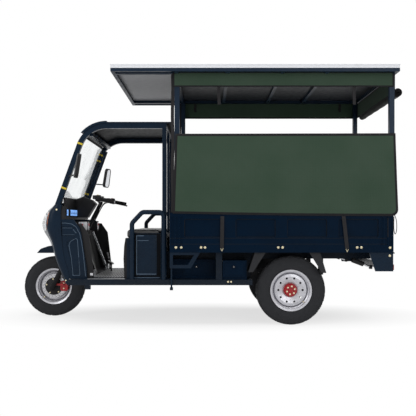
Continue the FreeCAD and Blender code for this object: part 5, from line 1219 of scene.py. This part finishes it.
def mirror_glass():
    """The silvered glass in the rear face of each mirror, leaned and turned with its shell."""
    lean, yaw = math.radians(9), math.radians(20)
    piece = Piece("mirror_glass")
    for out in SIDES.values():
        turn = -yaw * out
        outline = []
        for side, height in ((-37, 9), (37, 9), (28, 185), (-28, 185)):
            x = 11.5 * math.cos(lean) + height * math.sin(lean)
            z = height * math.cos(lean) - 11.5 * math.sin(lean)
            outline.append((337 + x * math.cos(turn) - side * math.sin(turn),
                            672 * out + x * math.sin(turn) + side * math.cos(turn), 1196 + z))
        depth = 1.6 * math.cos(lean)
        way = (depth * math.cos(turn), depth * math.sin(turn), -1.6 * math.sin(lean))
        piece.join(plate(outline, way, 24, 0.3), mirror_silver)
    piece.done("root")


dash_parts()
pillar_parts()
mirror_glass()

# Headlamps


def headlamp_bowls():
    """A bright bowl with a bulb and a ring behind each clear lens."""
    piece = Piece("headlamp_bowls")
    for out in SIDES.values():
        centre = at(4, 292 * out, 856)
        way = Vector((-1, 0.25 * out, 0.05))
        bowl = [(-46, 12), (-40, 26), (-26, 44), (-8, 58), (4, 64), (7, 68), (9, 68), (9, 64), (2, 60),
                (-12, 50), (-30, 36), (-42, 20), (-46, 12)]
        piece.join(turned(bowl, centre, way, 40), lamp_bowl)
        piece.join(turned([(-40, 0), (-40, 8), (-22, 9), (-14, 6), (-12, 0)], centre, way, 20), lens_clear)
    piece.done("root")


headlamp_bowls()

# Floor mat


def floor_mat():
    """A ribbed rubber mat on the cab's floor, its ribs and edge strips pale as painted highlights, and
    cables in silver clamps before it.
    """
    piece = Piece("floor_mat")
    piece.join(block((405, -420, 381.2), (708, 420, 383.5), 1.0), mat_grey)
    # The pale ribs and edge strips are painted highlights on the dark mat.
    for number in range(13):
        behind = 418 + number * 22.5
        piece.join(block((behind, -410, 383.2), (behind + 9, 410, 386.6), 0.9, 1), mat_rib_painted_highlight)
    for out in SIDES.values():
        piece.join(block((405, 524 * out, 381.2), (708, 546 * out, 383.2), 0.8), mat_rib_painted_highlight)
        across = 438 * out
        cable = [(421, across, 383), (414, across, 450), (404, across, 520), (386, across, 620)]
        piece.join(pipe(cable, 4, 4), cable_black)
        piece.join(bar((409, across, 486), (397, across, 546), 8, 20, 1), box_silver)
        piece.join(block((406, 424 * out, 400), (432, 452 * out, 422), 2), box_silver)
    piece.done("root")


floor_mat()

# Under the bed


def under_bed():
    """The tipping struts, the tray's side plates, the links from it to the springs and the brake lines."""
    piece = Piece("under_bed_parts")
    for out in SIDES.values():
        piece.join(bar((2585, 430 * out, 530), (2680, 430 * out, 494), 20, 24, 2), iron_black)
        piece.join(bar((2675, 430 * out, 496), (2738, 430 * out, 472), 9, 20, 1), bright_steel)
        piece.join(block((2728, 415 * out, 455), (2752, 445 * out, 486), 3), iron_black)
        piece.join(bar((1590, 380 * out, 366), (1765, 338 * out, 338), 8, 16, 1), iron_black)
        piece.join(block((1080, 346 * out, 340), (1700, 350 * out, 452), 1.0), enamel_bed)
        line = [(1640, 300 * out, 552), (1800, 320 * out, 560), (1960, 330 * out, 520),
                (2030, 345 * out, 430), (2045, 350 * out, 400)]
        piece.join(pipe(line, 3.5, 4), cable_black)
    piece.done("root")


def tail_parts():
    """The screws of the tail lamps and the bright bars across them."""
    piece = Piece("tail_lamp_parts")
    rear = box_mm("tail_lamps")[1]
    for out in SIDES.values():
        for inner in (442, 512):
            piece.join(dome_head((rear - 0.4, inner * out, 476), (1, 0, 0), 4, 3), bolt_zinc)
        for edge in (455.5, 497.5):
            rim = block((rear - 22, 428 * out, edge - 1.5), (rear + 1.2, 529 * out, edge + 1.5), 0.8)
            piece.join(rim, chrome)
    piece.done("root")


under_bed()
tail_parts()

# Finishes of the pieces that come from the frame

# Metres in the frame: the level of the roof panel's underside, where its painted shade begins, and the rear
# of the cab.
ROOF_UNDERSIDE = 2.064
CAB_REAR = -0.265


def roof_finish():
    """White enamel on top and round the edge; the underside is greyish painted shade, darker behind the cab
    over the covered bed.
    """
    material = paint("enamel_roof_panel", ROOF_WHITE, roughness=0.40, coat=0.05, dust=0.0, mottle=0.03)
    tree, shader, place = reopened(material)
    parts = add(tree, "ShaderNodeSeparateXYZ", {"Vector": place["Object"]}).outputs
    # Painted shade: the underside is tinted greyish, and darker behind the cab.
    under = span(parts["Z"], ROOF_UNDERSIDE, ROOF_UNDERSIDE + MM, 1.0, 0.0)
    under = add(tree, "ShaderNodeMapRange", under).outputs[0]
    rear = add(tree, "ShaderNodeMapRange", span(parts["X"], CAB_REAR, CAB_REAR + 10 * MM)).outputs[0]
    painted_shade_grey = add(tree, "ShaderNodeMix", {0: rear, 6: "#96979b", 7: "#303237"}, data_type="RGBA").outputs[2]
    tint(shader, under, painted_shade_grey)
    return material


def lens_finish():
    """Clear ribbed lamp plastic, greyed by painted shade where it curves away from view."""
    material = clear("lamp_lens_ribbed", "#eef1f3", roughness=0.04, weight=0.9)
    tree, shader, place = reopened(material)
    inputs = {"Vector": place["Object"], "Scale": wave_scale(9.0), "Distortion": 0.0}
    ribs = add(tree, "ShaderNodeTexWave", inputs, bands_direction="Z").outputs["Fac"]
    # Painted shade: the lens greys where its surface turns away from the view.
    edge = add(tree, "ShaderNodeLayerWeight", {"Blend": 0.35}).outputs["Facing"]
    tint(shader, add(tree, "ShaderNodeMapRange", span(edge, 0.35, 0.9)).outputs[0], "#6f767e")
    relief(tree, shader, [(ribs, 0.5)])
    return material


def cab_roof_finish():
    """Navy enamel outside; the faces under the cab's roof are painted shade, almost black and dull."""
    material = paint("enamel_cab_roof", NAVY, roughness=0.34, mottle=0.12)
    tree, shader, place = reopened(material)
    # Painted shade: faces that look down are tinted almost black, and their gloss is cut.
    up = add(tree, "ShaderNodeSeparateXYZ", {"Vector": place["Normal"]}).outputs["Z"]
    under = add(tree, "ShaderNodeMapRange", span(up, -0.35, -0.15, 1.0, 0.0)).outputs[0]
    tint(shader, under, "#0f141b")
    for socket, over, below in (("Specular IOR Level", 0.09, 0.01), ("Coat Weight", 0.04, 0.0)):
        share = add(tree, "ShaderNodeMapRange", span(under, 0.0, 1.0, over, below)).outputs[0]
        wire(shader, socket, share)
    return material


roof_white = roof_finish()
lens_ribbed = lens_finish()
cab_roof_navy = cab_roof_finish()

FRAME_FINISHES = {
    enamel_navy: ("nose_fairing", "leg_shield_left", "leg_shield_right", "cab_hoop_left",
                  "cab_hoop_right", "cab_cross_bars", "seat_box", "seat_guards", "step_brackets",
                  "rear_bumper", "front_mudguard"),
    enamel_bed: ("bed_front_wall", "bed_side_left", "bed_side_right", "tailgate", "battery_boxes",
                 "battery_door_front", "battery_door_rear", "bed_floor"),
    enamel_post: ("canopy_frame",),
    enamel_dark: ("chassis_frame", "floor_plate"),
    enamel_black: ("brake_pedal", "fork", "steering_neck"),
    roof_white: ("roof_panel",),
    cab_roof_navy: ("cab_roof",),
    plastic_black: ("inner_panel", "dashboard", "switch_boxes", "mirrors", "seat_front_cover"),
    plastic_guard: ("rear_mudguards",),
    rubber_black: ("grips",),
    vinyl_black: ("seat_cushion",),
    tyre_rubber: ("front_tyre", "rear_left_tyre", "rear_right_tyre"),
    silver_paint: ("front_rim", "rear_left_rim", "rear_right_rim"),
    red_paint: ("rear_left_hub", "rear_right_hub", "brake_caliper"),
    bright_steel: ("brake_disc", "front_axle"),
    chrome: ("handlebar",),
    stay_silver: ("dash_stays",),
    iron_black: ("rear_axle", "leaf_springs"),
    canvas_green: ("side_canvas_left", "side_canvas_right", "valances"),
    canvas_dark: ("curtain_roll",),
    webbing: ("webbing_straps",),
    pane_clear: ("windscreen",),
    lens_ribbed: ("headlamps",),
    lens_red: ("tail_lamps",),
}
for finish, nodes in FRAME_FINISHES.items():
    for node in nodes:
        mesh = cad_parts[node].data
        mesh.materials.clear()
        mesh.materials.append(finish)
